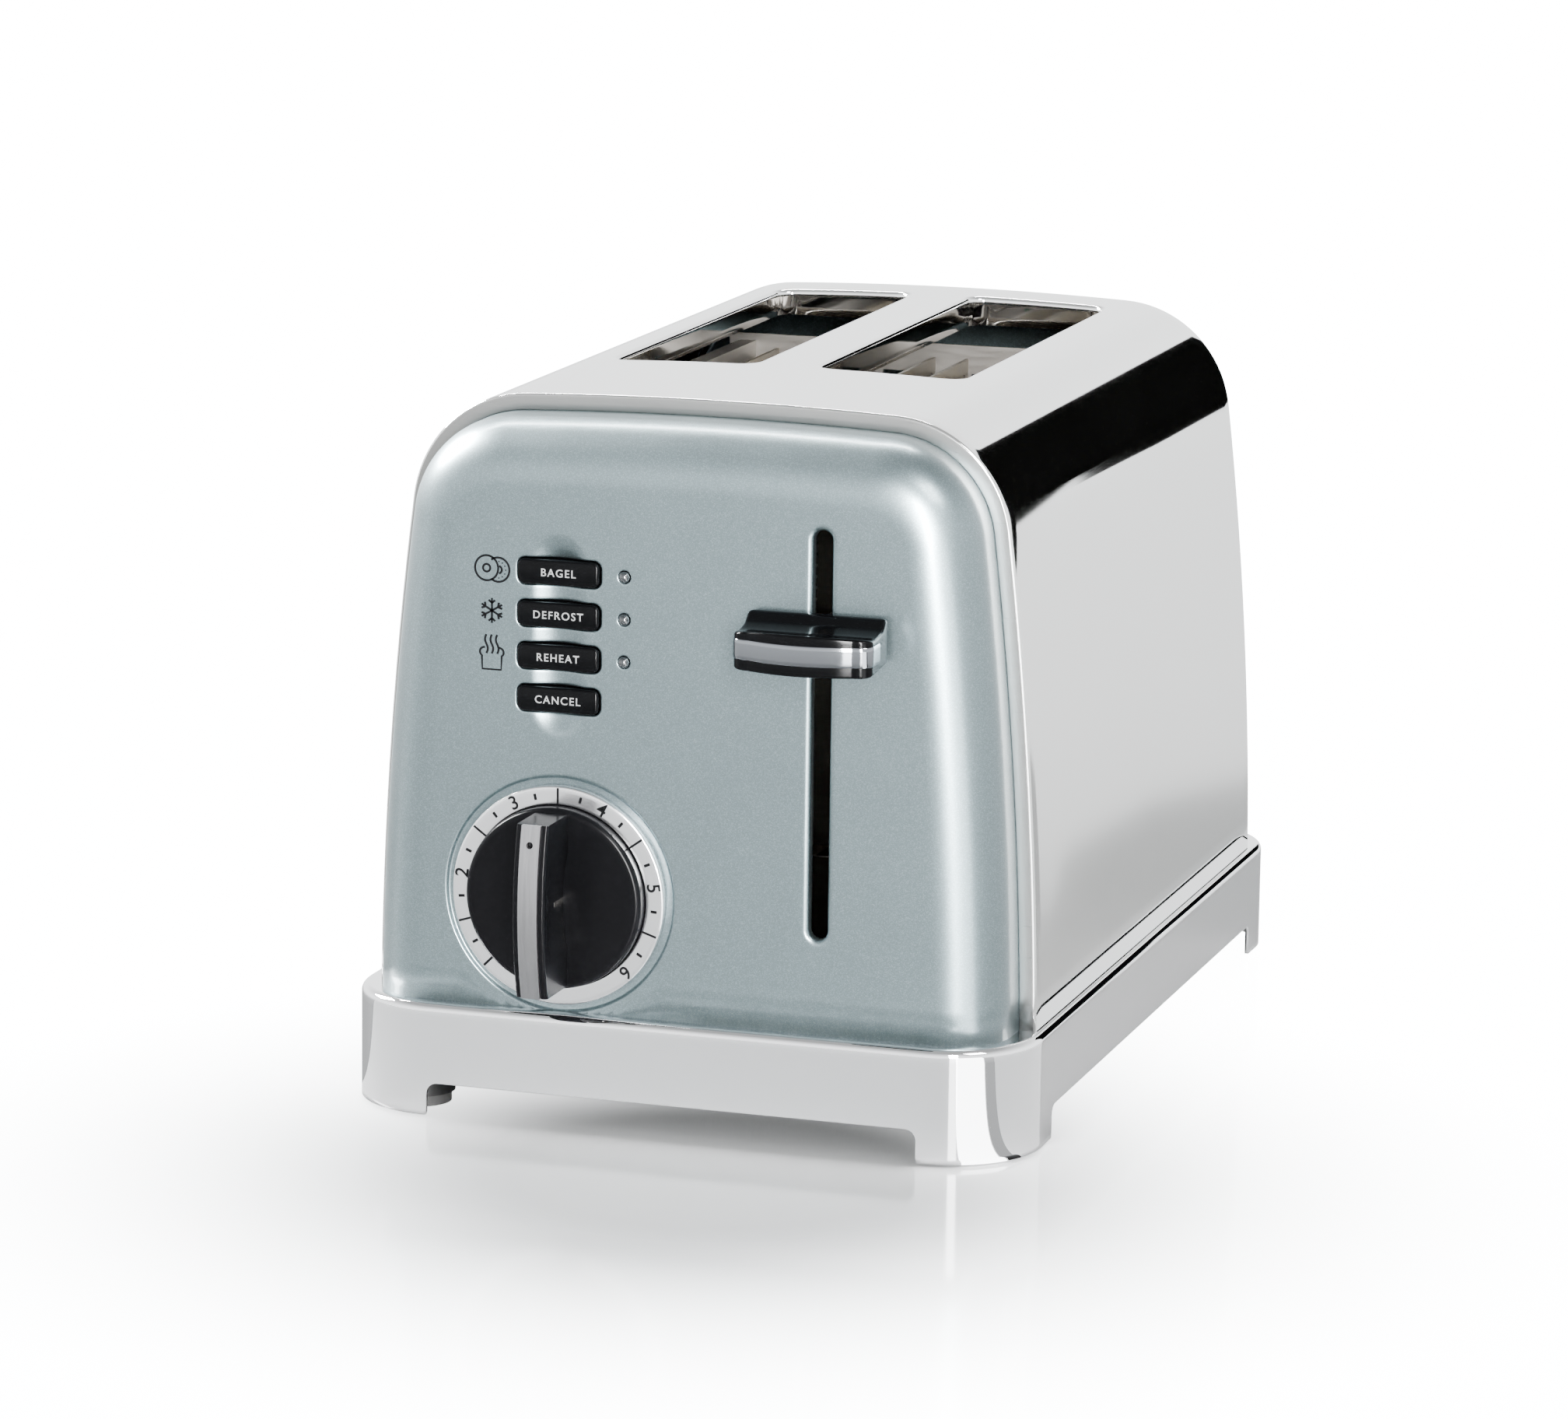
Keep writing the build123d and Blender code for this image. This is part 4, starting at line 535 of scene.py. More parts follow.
def smoked_lens(name):
    material, tree, shader = start_material(name)
    look = place_group(tree, MOTTLE, Colour=(0.03, 0.035, 0.04, 1), Second=(0.06, 0.065, 0.07, 1),
                       Scale=300.0,
                       Base=0.04, Spread=0.05)
    tree.links.new(look.outputs["Colour"], shader.inputs["Base Color"])
    tree.links.new(look.outputs["Roughness"], shader.inputs["Roughness"])
    shader.inputs["Coat Weight"].default_value = 1.0
    return material


WRAP_STEEL = polished_metal("polished_steel_wrap", (0.86, 0.86, 0.85), 0.035, 0.03)
CHROME = polished_metal("bright_chrome", (0.87, 0.87, 0.88), 0.02, 0.02)
PAINT = metallic_paint("sage_metallic_paint", (0.150, 0.195, 0.208), (0.42, 0.53, 0.55))
GLOSS_BLACK = moulded("gloss_black_plastic", (0.004, 0.0042, 0.005), (0.006, 0.0063, 0.007), 0.12,
                      0.05,
                      grain=0.01, wear_colour=(0.012, 0.012, 0.012), shine=0.06)
DIAL_BLACK = moulded("dial_black_plastic", (0.007, 0.007, 0.008), (0.010, 0.010, 0.012), 0.2, 0.06,
                     grain=0.02, shine=0.05)
# Chrome for the lever's band, its colour darkened as a painted dark reflection.
BAND_CHROME_PAINTED_DARK = polished_metal("chrome_with_painted_dark_reflection", (0.20, 0.21, 0.225), 0.06, 0.04)
RING_CHROME = polished_metal("satin_chrome", (0.80, 0.80, 0.81), 0.16, 0.05, 60.0)
# Steel for the wrap's rim flanges: its dark colour is a painted dark reflection; the brushing is grain.
RIM_STEEL_PAINTED_DARK = brushed_metal("brushed_rim_painted_dark_reflection", (0.27, 0.27, 0.265), (1.0, 60.0, 60.0), 0.24, 0.12)
MATT_BLACK = moulded("matt_black_plastic", (0.012, 0.012, 0.013), (0.018, 0.018, 0.018), 0.42, 0.2,
                     grain=0.35, shine=0.2)
RUBBER = moulded("foot_rubber", (0.03, 0.03, 0.03), (0.05, 0.05, 0.048), 0.7, 0.2, grain=0.5)
STRIP_STEEL = brushed_metal("brushed_strip", (0.19, 0.19, 0.195), (40.0, 1.0, 1.0))
SHEET_STEEL = brushed_metal("chassis_sheet", (0.27, 0.255, 0.235), (1.0, 1.0, 12.0), 0.3, 0.3)
WIRE_STEEL = polished_metal("guide_wire", (0.42, 0.40, 0.37), 0.18, 0.15, 80.0)
MICA = moulded("mica_board", (0.11, 0.092, 0.065), (0.17, 0.145, 0.105), 0.35, 0.25, 90.0, 0.3)
RIBBON = moulded("oxidised_ribbon", (0.10, 0.085, 0.075), (0.20, 0.16, 0.13), 0.4, 0.2, 200.0, 0.2,
                 metallic=0.8)
BOARD_GREEN = moulded("circuit_board", (0.02, 0.12, 0.05), (0.03, 0.16, 0.07), 0.3, 0.2, 150.0, 0.1,
                      coat=0.3)
COPPER = moulded("enamelled_copper", (0.45, 0.17, 0.06), (0.55, 0.24, 0.09), 0.25, 0.2, 300.0, 0.3,
                 metallic=0.9)
CREAM = moulded("cream_plastic", (0.60, 0.58, 0.52), (0.66, 0.64, 0.58), 0.4, 0.15, 60.0, 0.2)
LENS = smoked_lens("smoked_lens")
PRINT_BLACK = moulded("black_print", (0.006, 0.006, 0.007), (0.010, 0.011, 0.012), 0.45, 0.15,
                      400.0, 0.05, shine=0.05)
PRINT_WHITE = moulded("white_print", (0.62, 0.62, 0.62), (0.70, 0.70, 0.70), 0.45, 0.15, 400.0,
                      0.05)

FINISHES = {
    "chrome": CHROME, "polished_steel": WRAP_STEEL, "panel_paint": PAINT,
            "black_plastic": MATT_BLACK,
    "gloss_black": GLOSS_BLACK, "brushed_trim": STRIP_STEEL, "rubber": RUBBER, "lens": LENS,
    "sheet_steel": SHEET_STEEL, "mica": MICA, "heating_ribbon": RIBBON, "spring_steel": WIRE_STEEL,
    "board": BOARD_GREEN, "copper": COPPER, "white_plastic": CREAM,
}


def finish_cad_nodes():
    """Gives every carried-over CAD node the finish that its material slot names."""
    for part in frame["record"]["subparts"]:
        piece = frame["nodes"][part["node"]]
        for slot in piece.material_slots:
            slot.material = FINISHES[part["material_slot"]]


# ---------------------------------------------------------------- steel wrap
def rim_steps(count=8):
    """Shares of a quarter turn, from the flank to the rim's flat."""
    return [math.pi / 2 * i / count for i in range(count + 1)]


def slot_edge(x, grow):
    """A bread slot's outline as (x, y), grown outwards by grow."""
    return rounded_rect(x, SLOT_Y, SLOT_WIDTH, SLOT_LENGTH, SLOT_CORNER, grow, 8, (16, 60))


def make_wrap():
    """The polished wrap: arched flanks, rolled rims and a crowned top with two lipped slots."""
    foot = BASE_TOP
    shares = [1 - 2 * i / 60 for i in range(61)]
    skin = Skin()
    flank_rows = [WRAP_FRONT + RIM_ROUND + (WRAP_REAR - WRAP_FRONT - 2 * RIM_ROUND) * i / 46
                  for i in range(47)]
    for side in (1, -1):
        rows = []
        for y in flank_rows:
            rows.append([(side * x, y, z) for x, z in half_arch(0, foot)])
        skin.rows(rows, closed=False)
    for end, way in ((WRAP_FRONT, 1), (WRAP_REAR, -1)):
        rows = []
        for a in rim_steps():
            inset = RIM_ROUND * (1 - math.cos(a))
            y = end + way * RIM_ROUND * (1 - math.sin(a))
            rows.append([(x, y, z) for x, z in full_arch(inset, foot, shares)])
        rows.append([(x, end, z) for x, z in full_arch((RIM_ROUND + WRAP_RIM) / 2, foot, shares)])
        for inset, depth in ((WRAP_RIM, 0.0), (WRAP_RIM + 0.25, 0.1), (WRAP_RIM + 0.35, 0.35),
                             (WRAP_RIM + 0.35, 1.6)):
            rows.append([(x, end + way * depth, z) for x, z in full_arch(inset, foot, shares)])
        skin.rows(rows, closed=False)
    top = top_line(0, shares)
    half = top[0][0]
    outer = [(half, y) for y in flank_rows] + [(x, flank_rows[-1]) for x, z in top[1:-1]]
    outer += [(-half, y) for y in reversed(flank_rows)] + [(x, flank_rows[0]) for x,
                                                           z in reversed(top[1:-1])]
    holes, support = [], []
    for x in (-SLOT_X, SLOT_X):
        holes.append(slot_edge(x, LIP_ROUND))
        for grow in (LIP_ROUND + 0.5, LIP_ROUND + 1.4, LIP_ROUND + 3.0, LIP_ROUND + 5.5):
            support += slot_edge(x, grow)
    for i in range(1, 46):
        for s in shares[2:-2:2]:
            x = top_line(0, [s])[0][0]
            y = flank_rows[i]
            clear = all(abs(x - cx) > SLOT_WIDTH / 2 + LIP_ROUND + 7
                        or abs(y - SLOT_Y) > SLOT_LENGTH / 2 + LIP_ROUND + 7
                        for cx in (-SLOT_X, SLOT_X))
            if clear:
                support.append((x, y))
    flat, faces = fill_plate(outer, holes, [p for p in support if abs(p[0]) < half - 0.3])
    skin.patch([(x, y, TOP_CENTRE[1] + math.sqrt(TOP_RADIUS ** 2 - x * x)) for x, y in flat], faces)
    for cx in (-SLOT_X, SLOT_X):
        rows = []
        for a in rim_steps(6):
            grow = LIP_ROUND * (1 - math.sin(a))
            loop = slot_edge(cx, LIP_ROUND)
            inner = slot_edge(cx, grow)
            row = []
            for (ox, _), (x, y) in zip(loop, inner):
                crown = TOP_CENTRE[1] + math.sqrt(TOP_RADIUS ** 2 - ox * ox)
                row.append((x, y, crown - LIP_ROUND * (1 - math.cos(a))))
            rows.append(row)
        straight = slot_edge(cx, 0)
        for drop in (3.0, 6.0, LIP_DEPTH - 0.6):
            rows.append([(x, y, HEIGHT - drop) for x, y in straight])
        skin.rows(rows)
    wrap = mesh_piece("steel_wrap", skin.verts, skin.faces, WRAP_STEEL)
    face_towards(wrap, lambda c: Vector((c.x, 0.0, c.z - 0.09)))
    thicken(wrap, 0.7)
    # The forward- and backward-facing rim flanges take the darkened steel, which paints in the rim's dark
    # reflection.
    wrap.data.materials.append(RIM_STEEL_PAINTED_DARK)
    for polygon in wrap.data.polygons:
        at_end = min(abs(polygon.center.y - WRAP_FRONT * MM),
                     abs(polygon.center.y - WRAP_REAR * MM)) < 0.0004
        if at_end and abs(polygon.normal.y) > 0.9:
            polygon.material_index = 1
    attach(wrap, "housing")
    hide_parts("body_wrap")
    return wrap


# ---------------------------------------------------------------- end panels
def panel_rows(face, lap, way):
    """Loops of a domed end panel from its hidden edge to the edge of its flat face."""
    rows = []
    for y in (lap, lap - way * 3.0, (lap + face + way * PANEL_ROUND) / 2, face + way * PANEL_ROUND):
        rows.append((PANEL_INSET, y))
    for a in [math.pi / 2 * i / 14 for i in range(1, 15)]:
        rows.append((PANEL_INSET + PANEL_ROUND * (1 - math.cos(a)),
                     face + way * PANEL_ROUND * (1 - math.sin(a))))
    return rows


def panel_skin(skin, face, lap, way, holes, dent, extra=()):
    """Side rows and flat face of an end panel; dent(x, z) gives how far a face point is pressed in."""
    shares = [1 - 2 * i / 56 for i in range(57)]
    rows = panel_rows(face, lap, way)
    skin.rows([[(x, y, z) for x, z in full_arch(inset, BASE_TOP, shares)] for inset, y in rows],
              closed=False)
    rim = full_arch(rows[-1][0], BASE_TOP, shares)
    low = [(rim[-1][0] + (rim[0][0] - rim[-1][0]) * i / 40, BASE_TOP) for i in range(1, 40)]
    outer = rim + low
    support = list(extra)
    for gap in (0.8, 2.0, 4.0):
        support += full_arch(rows[-1][0] + gap, BASE_TOP + 0.5, shares)[2:-2]
    width = max(x for x, z in rim)
    steps_x, steps_z = int(2 * width / 5), 30
    for i in range(1, steps_x):
        for k in range(1, steps_z):
            x = -width + 2 * width * i / steps_x
            z = BASE_TOP + (HEIGHT - PANEL_INSET - PANEL_ROUND - BASE_TOP) * k / steps_z
            if near_loop((x, z), outer, 5.0) or any(inside((x, z), spot) for spot in holes):
                continue
            support.append((x, z))
    flat, faces = fill_plate(outer, holes, support)
    skin.patch([(x, face + way * dent(x, z), z) for x, z in flat], faces)


def near_loop(point, loop, gap):
    x, z = point
    if not inside(point, loop):
        return True
    return any(abs(x - a) < gap and abs(z - b) < gap for a, b in loop)


BUTTON_X, BUTTON_WIDTH, BUTTON_HEIGHT, BUTTON_CORNER = -32.7, 22.4, 6.6, 1.8
BUTTON_HEIGHTS = [(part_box(f"button_{n}")[0][2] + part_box(f"button_{n}")[1][2]) / 2 / MM
                  for n in ("bagel", "defrost", "reheat", "cancel")]
LED_X, LED_RADIUS = -14.8, 1.5
LEVER_X, LEVER_SLOT_WIDTH, LEVER_SLOT = 38.6, 5.0, (56.2, 163.7)
SCOOP_HALF, SCOOP_DEPTH = 7.6, 2.1


def finger_groove(x, z):
    """Depth of the soft upright groove behind the buttons."""
    low, high = BUTTON_HEIGHTS[-1] - 2.0, BUTTON_HEIGHTS[0] + 2.0
    nearest = min(max(z, low), high)
    d = math.hypot(x - BUTTON_X, z - nearest) / SCOOP_HALF
    if d >= 1:
        return 0.0
    return SCOOP_DEPTH * (1 - d * d) ** 1.5


def slot_loop(grow, count=14):
    """The lever slot's outline as (x, z)."""
    low, high = LEVER_SLOT
    r = LEVER_SLOT_WIDTH / 2 + grow
    top = high - LEVER_SLOT_WIDTH / 2
    bottom = low + LEVER_SLOT_WIDTH / 2
    points = [(LEVER_X + r * math.cos(math.pi * i / count), top + r * math.sin(math.pi * i / count))
              for i in range(count + 1)]
    points += [(LEVER_X - r, top + (bottom - top) * i / 40) for i in range(1, 40)]
    points += [(LEVER_X - r * math.cos(math.pi * i / count),
                bottom - r * math.sin(math.pi * i / count))
               for i in range(count + 1)]
    points += [(LEVER_X + r, bottom + (top - bottom) * i / 40) for i in range(1, 40)]
    return points


def hole_wall(skin, face, loops, dent):
    """Rows that roll a hole's edge over and take it inside; loops are (points, depth)."""
    rows = []
    for points, depth in loops:
        rows.append([(x, face + dent(x, z) + depth, z) for x, z in points])
    skin.rows(rows)


def make_front_panel():
    skin = Skin()
    no_dent = lambda x, z: 0.0
    recess = DIAL_RADIUS + 1.6
    holes, support = [], []
    roll = 0.5
    for z in BUTTON_HEIGHTS:
        outline = lambda grow, z=z: rounded_rect(BUTTON_X, z, BUTTON_WIDTH + 0.6,
                                                 BUTTON_HEIGHT + 0.6, BUTTON_CORNER + 0.3,
                                                 grow, 6, (22, 6))
        holes.append(outline(roll))
        support += outline(roll + 0.5)
        support += outline(roll + 1.1)[::2]
        hole_wall(skin, FACE, [(outline(roll * (1 - math.sin(a))), roll * (1 - math.cos(a)))
                               for a in rim_steps(4)]
                  + [(outline(0), 1.4)], finger_groove)
    for z in BUTTON_HEIGHTS[:-1]:
        holes.append(ring(LED_X, z, LED_RADIUS + 0.55, 28))
        support += ring(LED_X, z, LED_RADIUS + 1.0, 28)
        hole_wall(skin, FACE, [(ring(LED_X, z, LED_RADIUS + 0.15 + 0.4 * (1 - math.sin(a)), 28),
                                0.4 * (1 - math.cos(a)))
                               for a in rim_steps(4)] + [(ring(LED_X, z, LED_RADIUS + 0.15, 28),
                                                          1.2)], no_dent)
    edge = 1.5
    holes.append(slot_loop(edge))
    for grow in (edge + 0.5, edge + 1.4, edge + 3.0):
        support += slot_loop(grow)
    hole_wall(skin, FACE, [(slot_loop(edge * (1 - math.sin(a))), edge * (1 - math.cos(a)))
                           for a in rim_steps(7)]
              + [(slot_loop(0), 3.4)], no_dent)
    soft = 1.1
    holes.append(ring(DIAL_X, DIAL_Z, recess + soft, 120))
    for grow in (soft + 0.5, soft + 1.3, soft + 2.6):
        support += ring(DIAL_X, DIAL_Z, recess + grow, 120)
    depth = 0.9
    rows = [(ring(DIAL_X, DIAL_Z, recess + soft - soft * i / 8, 120),
             depth * (1 - math.cos(math.pi * i / 8)) / 2)
            for i in range(9)]
    rows += [(ring(DIAL_X, DIAL_Z, DIAL_RADIUS - 1.0, 120), depth)]
    rows += [(ring(DIAL_X, DIAL_Z, 9.0, 120), depth)]
    hole_wall(skin, FACE, rows, no_dent)
    low, high = BUTTON_HEIGHTS[-1] - 11, BUTTON_HEIGHTS[0] + 11
    for i in range(-9, 10):
        for k in range(int(high - low) + 1):
            x, z = BUTTON_X + i, low + k
            if not any(abs(z - b) < BUTTON_HEIGHT / 2 + 1.6
                       and abs(x - BUTTON_X) < BUTTON_WIDTH / 2 + 1.6
                       for b in BUTTON_HEIGHTS):
                support.append((x, z))
    support = [p for p in support if not any(inside(p, hole) for hole in holes)]
    panel_skin(skin, FACE, WRAP_FRONT + 7.0, 1, holes, finger_groove, support)
    panel = mesh_piece("front_panel_skin", skin.verts, skin.faces, PAINT)
    face_towards(panel, lambda c: Vector((c.x, min(0.0, c.y + 0.1) * 3, c.z - 0.09)))
    thicken(panel, 0.8)
    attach(panel, "housing")
    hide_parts("front_panel")
    return panel


def make_rear_panel():
    skin = Skin()
    no_dent = lambda x, z: 0.0
    inlet_low, inlet_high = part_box("cord_inlet")
    ix, iz = (inlet_low[0] + inlet_high[0]) / 2 / MM, (inlet_low[2] + inlet_high[2]) / 2 / MM
    holes, support = [ring(ix, iz, 8.0, 40)], []
    for i in range(9):
        x, z = (i - 4) * 9.0, HEIGHT - 52.0
        vent = lambda grow, x=x, z=z: rounded_rect(x, z, 3.0, 22.0, 1.49, grow, 5, (1, 8))
        holes.append(vent(0.5))
        support += vent(1.0)
        hole_wall(skin, BACK_FACE, [(vent(0.5 * (1 - math.sin(a))), -0.5 * (1 - math.cos(a)))
                                    for a in rim_steps(4)]
                  + [(vent(0), -1.5)], no_dent)
    panel_skin(skin, BACK_FACE, WRAP_REAR - 7.0, -1, holes, no_dent, support)
    panel = mesh_piece("rear_panel_skin", skin.verts, skin.faces, PAINT)
    face_towards(panel, lambda c: Vector((c.x, max(0.0, c.y - 0.11) * 3, c.z - 0.09)))
    thicken(panel, 0.8)
    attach(panel, "housing")
    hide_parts("rear_panel")
    return panel


# ---------------------------------------------------------------- chromed skirt
def skirt_outline(inset):
    """Points round the skirt's plan as (x, y), with extra points at the legs' edges."""
    half_w = (SKIRT_HIGH[0] - SKIRT_LOW[0]) / 2 - inset
    half_l = (SKIRT_HIGH[1] - SKIRT_LOW[1]) / 2 - inset
    r = BASE_CORNER - inset
    points = []
    for sx, sy, quarter in ((1, 1, 0), (-1, 1, 1), (-1, -1, 2), (1, -1, 3)):
        ox, oy = sx * (half_w - r), MIDDLE + sy * (half_l - r)
        for i in range(33):
            a = (quarter + i / 32) * math.pi / 2
            points.append((ox + r * math.cos(a), oy + r * math.sin(a)))
        along_x = quarter % 2 == 0
        notch = NOTCH_HALF_X if along_x else NOTCH_HALF_Y
        stops = notch_stops(notch)
        way = -1 if quarter in (0, 1) else 1
        for stop in stops:
            if along_x:
                points.append((way * stop, MIDDLE + sy * half_l))
            else:
                points.append((sx * half_w, MIDDLE + way * stop))
    return points


def notch_stops(notch):
    """Distances along a side, from minus to plus, dense where the notch's edge curves."""
    edge = [notch + 0.3, notch + 0.1, notch + 0.02]
    edge += [notch - NOTCH_ROUND * (1 - math.cos(a)) for a in [math.pi / 2 * i / 8
                                                               for i in range(9)]]
    inner = [(notch - NOTCH_ROUND) * (1 - 2 * i / 24) for i in range(1, 24)]
    stops = edge + inner
    stops += [-s for s in reversed(edge)]
    return [-s for s in stops]


def notch_edge(x, y):
    """Height of the skirt's lower edge at a plan point."""
    half_w = (SKIRT_HIGH[0] - SKIRT_LOW[0]) / 2
    half_l = (SKIRT_HIGH[1] - SKIRT_LOW[1]) / 2
    on_side = abs(x) > half_w - 2
    along, notch = (abs(y - MIDDLE), NOTCH_HALF_Y) if on_side else (abs(x), NOTCH_HALF_X)
    if not on_side and abs(y - MIDDLE) < half_l - 2:
        return SKIRT_LOW[2]
    if along > notch + 0.01:
        flare = max(0.0, 1.0 - (along - notch) / 0.45)
        return SKIRT_LOW[2] + 0.9 * flare ** 2
    into = notch - along
    if into < NOTCH_ROUND:
        return NOTCH_TOP - NOTCH_ROUND + math.sqrt(max(0.0,
                                                       NOTCH_ROUND ** 2 - (NOTCH_ROUND - into) ** 2))
    return NOTCH_TOP


def make_skirt():
    skin = Skin()
    outline = skirt_outline(0)
    top = BASE_TOP - BASE_ROUND
    edges = [notch_edge(x, y) for x, y in outline]
    rows = [[(x, y, low) for (x, y), low in zip(outline, edges)]]
    for share in (0.12, 0.45, 1.0):
        rows.append([(x, y, low + (12.0 - low) * share) for (x, y), low in zip(outline, edges)])
    for z in (16.0, 20.0, 24.0, top - 1.5, top):
        rows.append([(x, y, z) for x, y in outline])
    for a in rim_steps(8)[1:]:
        rows.append([(x, y, top + BASE_ROUND * math.sin(a)) for x,
                     y in skirt_outline(BASE_ROUND * (1 - math.cos(a)))])
    for inset in (BASE_ROUND + 0.5, 5.0, 9.0, LEDGE_DEPTH):
        rows.append([(x, y, BASE_TOP) for x, y in skirt_outline(inset)])
    skin.rows(rows)
    mouth_low, mouth_high = 12.0, 20.0
    keep = []
    for face in skin.faces:
        middle = [sum(skin.verts[i][axis] for i in face) / len(face) for axis in range(3)]
        rear = middle[1] > SKIRT_HIGH[1] - 0.5 and abs(middle[0]) < NOTCH_HALF_X - NOTCH_ROUND
        if not (rear and mouth_low < middle[2] < mouth_high):
            keep.append(face)
    skin.faces = keep
    skirt = mesh_piece("chromed_skirt", skin.verts, skin.faces, CHROME)
    face_towards(skirt, lambda c: Vector((c.x, c.y - MIDDLE * MM, 0.02)))
    thicken(skirt, 1.1, even=False)
    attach(skirt, "housing")
    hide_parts("base_skirt")
    return skirt


# ---------------------------------------------------------------- dial
def lathe(skin, profile, count=128):
    """Turns (radius, y) points round the dial's axis."""
    rows = []
    for r, y in profile:
        rows.append([(DIAL_X + r * math.cos(2 * math.pi * i / count), y,
                      DIAL_Z + r * math.sin(2 * math.pi * i / count)) for i in range(count)])
    return skin.rows(rows)


def quarter(r, y, radius, start, steps=6):
    """A quarter-round of (radius, y) points about (r, y), from the angle start."""
    return [(r + radius * math.cos(start + math.pi / 2 * i / steps),
             y - radius * math.sin(start + math.pi / 2 * i / steps))
            for i in range(steps + 1)]


def make_dial_ring():
    """The chromed ring: rolled outer edge, flat printed face and a turned-in bore."""
    skin = Skin()
    front, back = RING_LOW[1], RING_HIGH[1]
    outer, bore = DIAL_RADIUS, KNOB_RADIUS + 0.15
    profile = [(outer - 0.2, back), (outer, back - 0.2), (outer, front + 1.0)]
    profile += quarter(outer - 0.7, front + 0.7, 0.7, 0.0)
    profile += [(outer - 1.6, front), (bore + 0.9, front)]
    profile += [(bore + 0.35 - 0.35 * math.sin(a), front + 0.35 * (1 - math.cos(a)))
                for a in rim_steps(5)]
    profile += [(bore, front + 1.6), (bore - 0.4, front + 1.8), (8.0, front + 1.8),
                (6.0, front + 1.8), (6.0, back),
                (20.0, back), (outer - 0.2, back)]
    lathe(skin, profile, 160)
    piece = mesh_piece("dial_ring", skin.verts, skin.faces, RING_CHROME)
    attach(piece, "housing")
    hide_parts("dial_bezel")
    return piece


def tick_nodes():
    """Marks round a dial as a node setup: one small block turned round a circle."""
    group = bpy.data.node_groups.new("dial_marks", "GeometryNodeTree")
    face = group.interface
    face.new_socket("Geometry", in_out="OUTPUT", socket_type="NodeSocketGeometry")
    face.new_socket("Geometry", in_out="INPUT", socket_type="NodeSocketGeometry")
    for label, kind in (("Count", "NodeSocketInt"), ("First", "NodeSocketFloat"),
                        ("Step", "NodeSocketFloat"),
                        ("Radius", "NodeSocketFloat"), ("Length", "NodeSocketFloat"),
                        ("Width", "NodeSocketFloat"),
                        ("Depth", "NodeSocketFloat"), ("Ink", "NodeSocketMaterial")):
        face.new_socket(label, in_out="INPUT", socket_type=kind)
    source, out = group.nodes.new("NodeGroupInput"), group.nodes.new("NodeGroupOutput")
    line = group.nodes.new("GeometryNodeMeshLine")
    group.links.new(source.outputs["Count"], line.inputs["Count"])
    index = group.nodes.new("GeometryNodeInputIndex")
    turn = math_node(group, "MULTIPLY", index.outputs[0], source.outputs["Step"])
    angle = math_node(group, "RADIANS", math_node(group, "ADD", turn, source.outputs["First"]))
    radius = source.outputs["Radius"]
    spot = group.nodes.new("ShaderNodeCombineXYZ")
    group.links.new(math_node(group, "MULTIPLY", math_node(group, "COSINE", angle), radius),
                    spot.inputs[0])
    group.links.new(math_node(group, "MULTIPLY", math_node(group, "SINE", angle), radius),
                    spot.inputs[2])
    move = group.nodes.new("GeometryNodeSetPosition")
    group.links.new(line.outputs[0], move.inputs["Geometry"])
    group.links.new(spot.outputs[0], move.inputs["Position"])
    block = group.nodes.new("GeometryNodeMeshCube")
    size = group.nodes.new("ShaderNodeCombineXYZ")
    for i, label in enumerate(("Length", "Depth", "Width")):
        group.links.new(source.outputs[label], size.inputs[i])
    group.links.new(size.outputs[0], block.inputs["Size"])
    tilt = group.nodes.new("ShaderNodeCombineXYZ")
    group.links.new(math_node(group, "MULTIPLY", angle, -1.0), tilt.inputs[1])
    spread = group.nodes.new("GeometryNodeInstanceOnPoints")
    group.links.new(move.outputs[0], spread.inputs["Points"])
    group.links.new(block.outputs[0], spread.inputs["Instance"])
    group.links.new(tilt.outputs[0], spread.inputs["Rotation"])
    real = group.nodes.new("GeometryNodeRealizeInstances")
    group.links.new(spread.outputs[0], real.inputs[0])
    ink = group.nodes.new("GeometryNodeSetMaterial")
    group.links.new(real.outputs[0], ink.inputs["Geometry"])
    group.links.new(source.outputs["Ink"], ink.inputs["Material"])
    group.links.new(ink.outputs[0], out.inputs[0])
    return group


def make_ticks(name, group, count, first, step, radius, length, width):
    """Printed marks on the dial ring, made by the mark node setup and turned into plain mesh."""
    piece = bpy.data.objects.new(name, bpy.data.meshes.new(name))
    bpy.context.scene.collection.objects.link(piece)
    marks = piece.modifiers.new("marks", "NODES")
    marks.node_group = group
    values = {"Count": count, "First": first, "Step": step, "Radius": radius * MM,
              "Length": length * MM,
              "Width": width * MM, "Depth": 0.1 * MM, "Ink": PRINT_BLACK}
    for item in group.interface.items_tree:
        if item.in_out == "INPUT" and item.name in values:
            marks[item.identifier] = values[item.name]
    apply_modifiers(piece)
    piece.data.transform(Matrix.Translation((DIAL_X * MM, (RING_LOW[1] + 0.02) * MM, DIAL_Z * MM)))
    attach(piece, "housing")
    return piece


# ---------------------------------------------------------------- printing
def lettering(text, size, weight=0.0):
    """A word's filled outline as points in millimetres about its middle, and its faces."""
    curve = bpy.data.curves.new("word", "FONT")
    curve.body, curve.size, curve.offset = text, size, weight
    curve.align_x, curve.align_y = "CENTER", "CENTER"
    curve.space_character = 1.2
    curve.resolution_u = 4
    holder = bpy.data.objects.new("word", curve)
    bpy.context.scene.collection.objects.link(holder)
    graph = bpy.context.evaluated_depsgraph_get()
    mesh = bpy.data.meshes.new_from_object(holder.evaluated_get(graph))
    points = [(v.co.x, v.co.y) for v in mesh.vertices]
    faces = [tuple(p.vertices) for p in mesh.polygons]
    bpy.data.objects.remove(holder)
    bpy.data.curves.remove(curve)
    bpy.data.meshes.remove(mesh)
    return points, faces


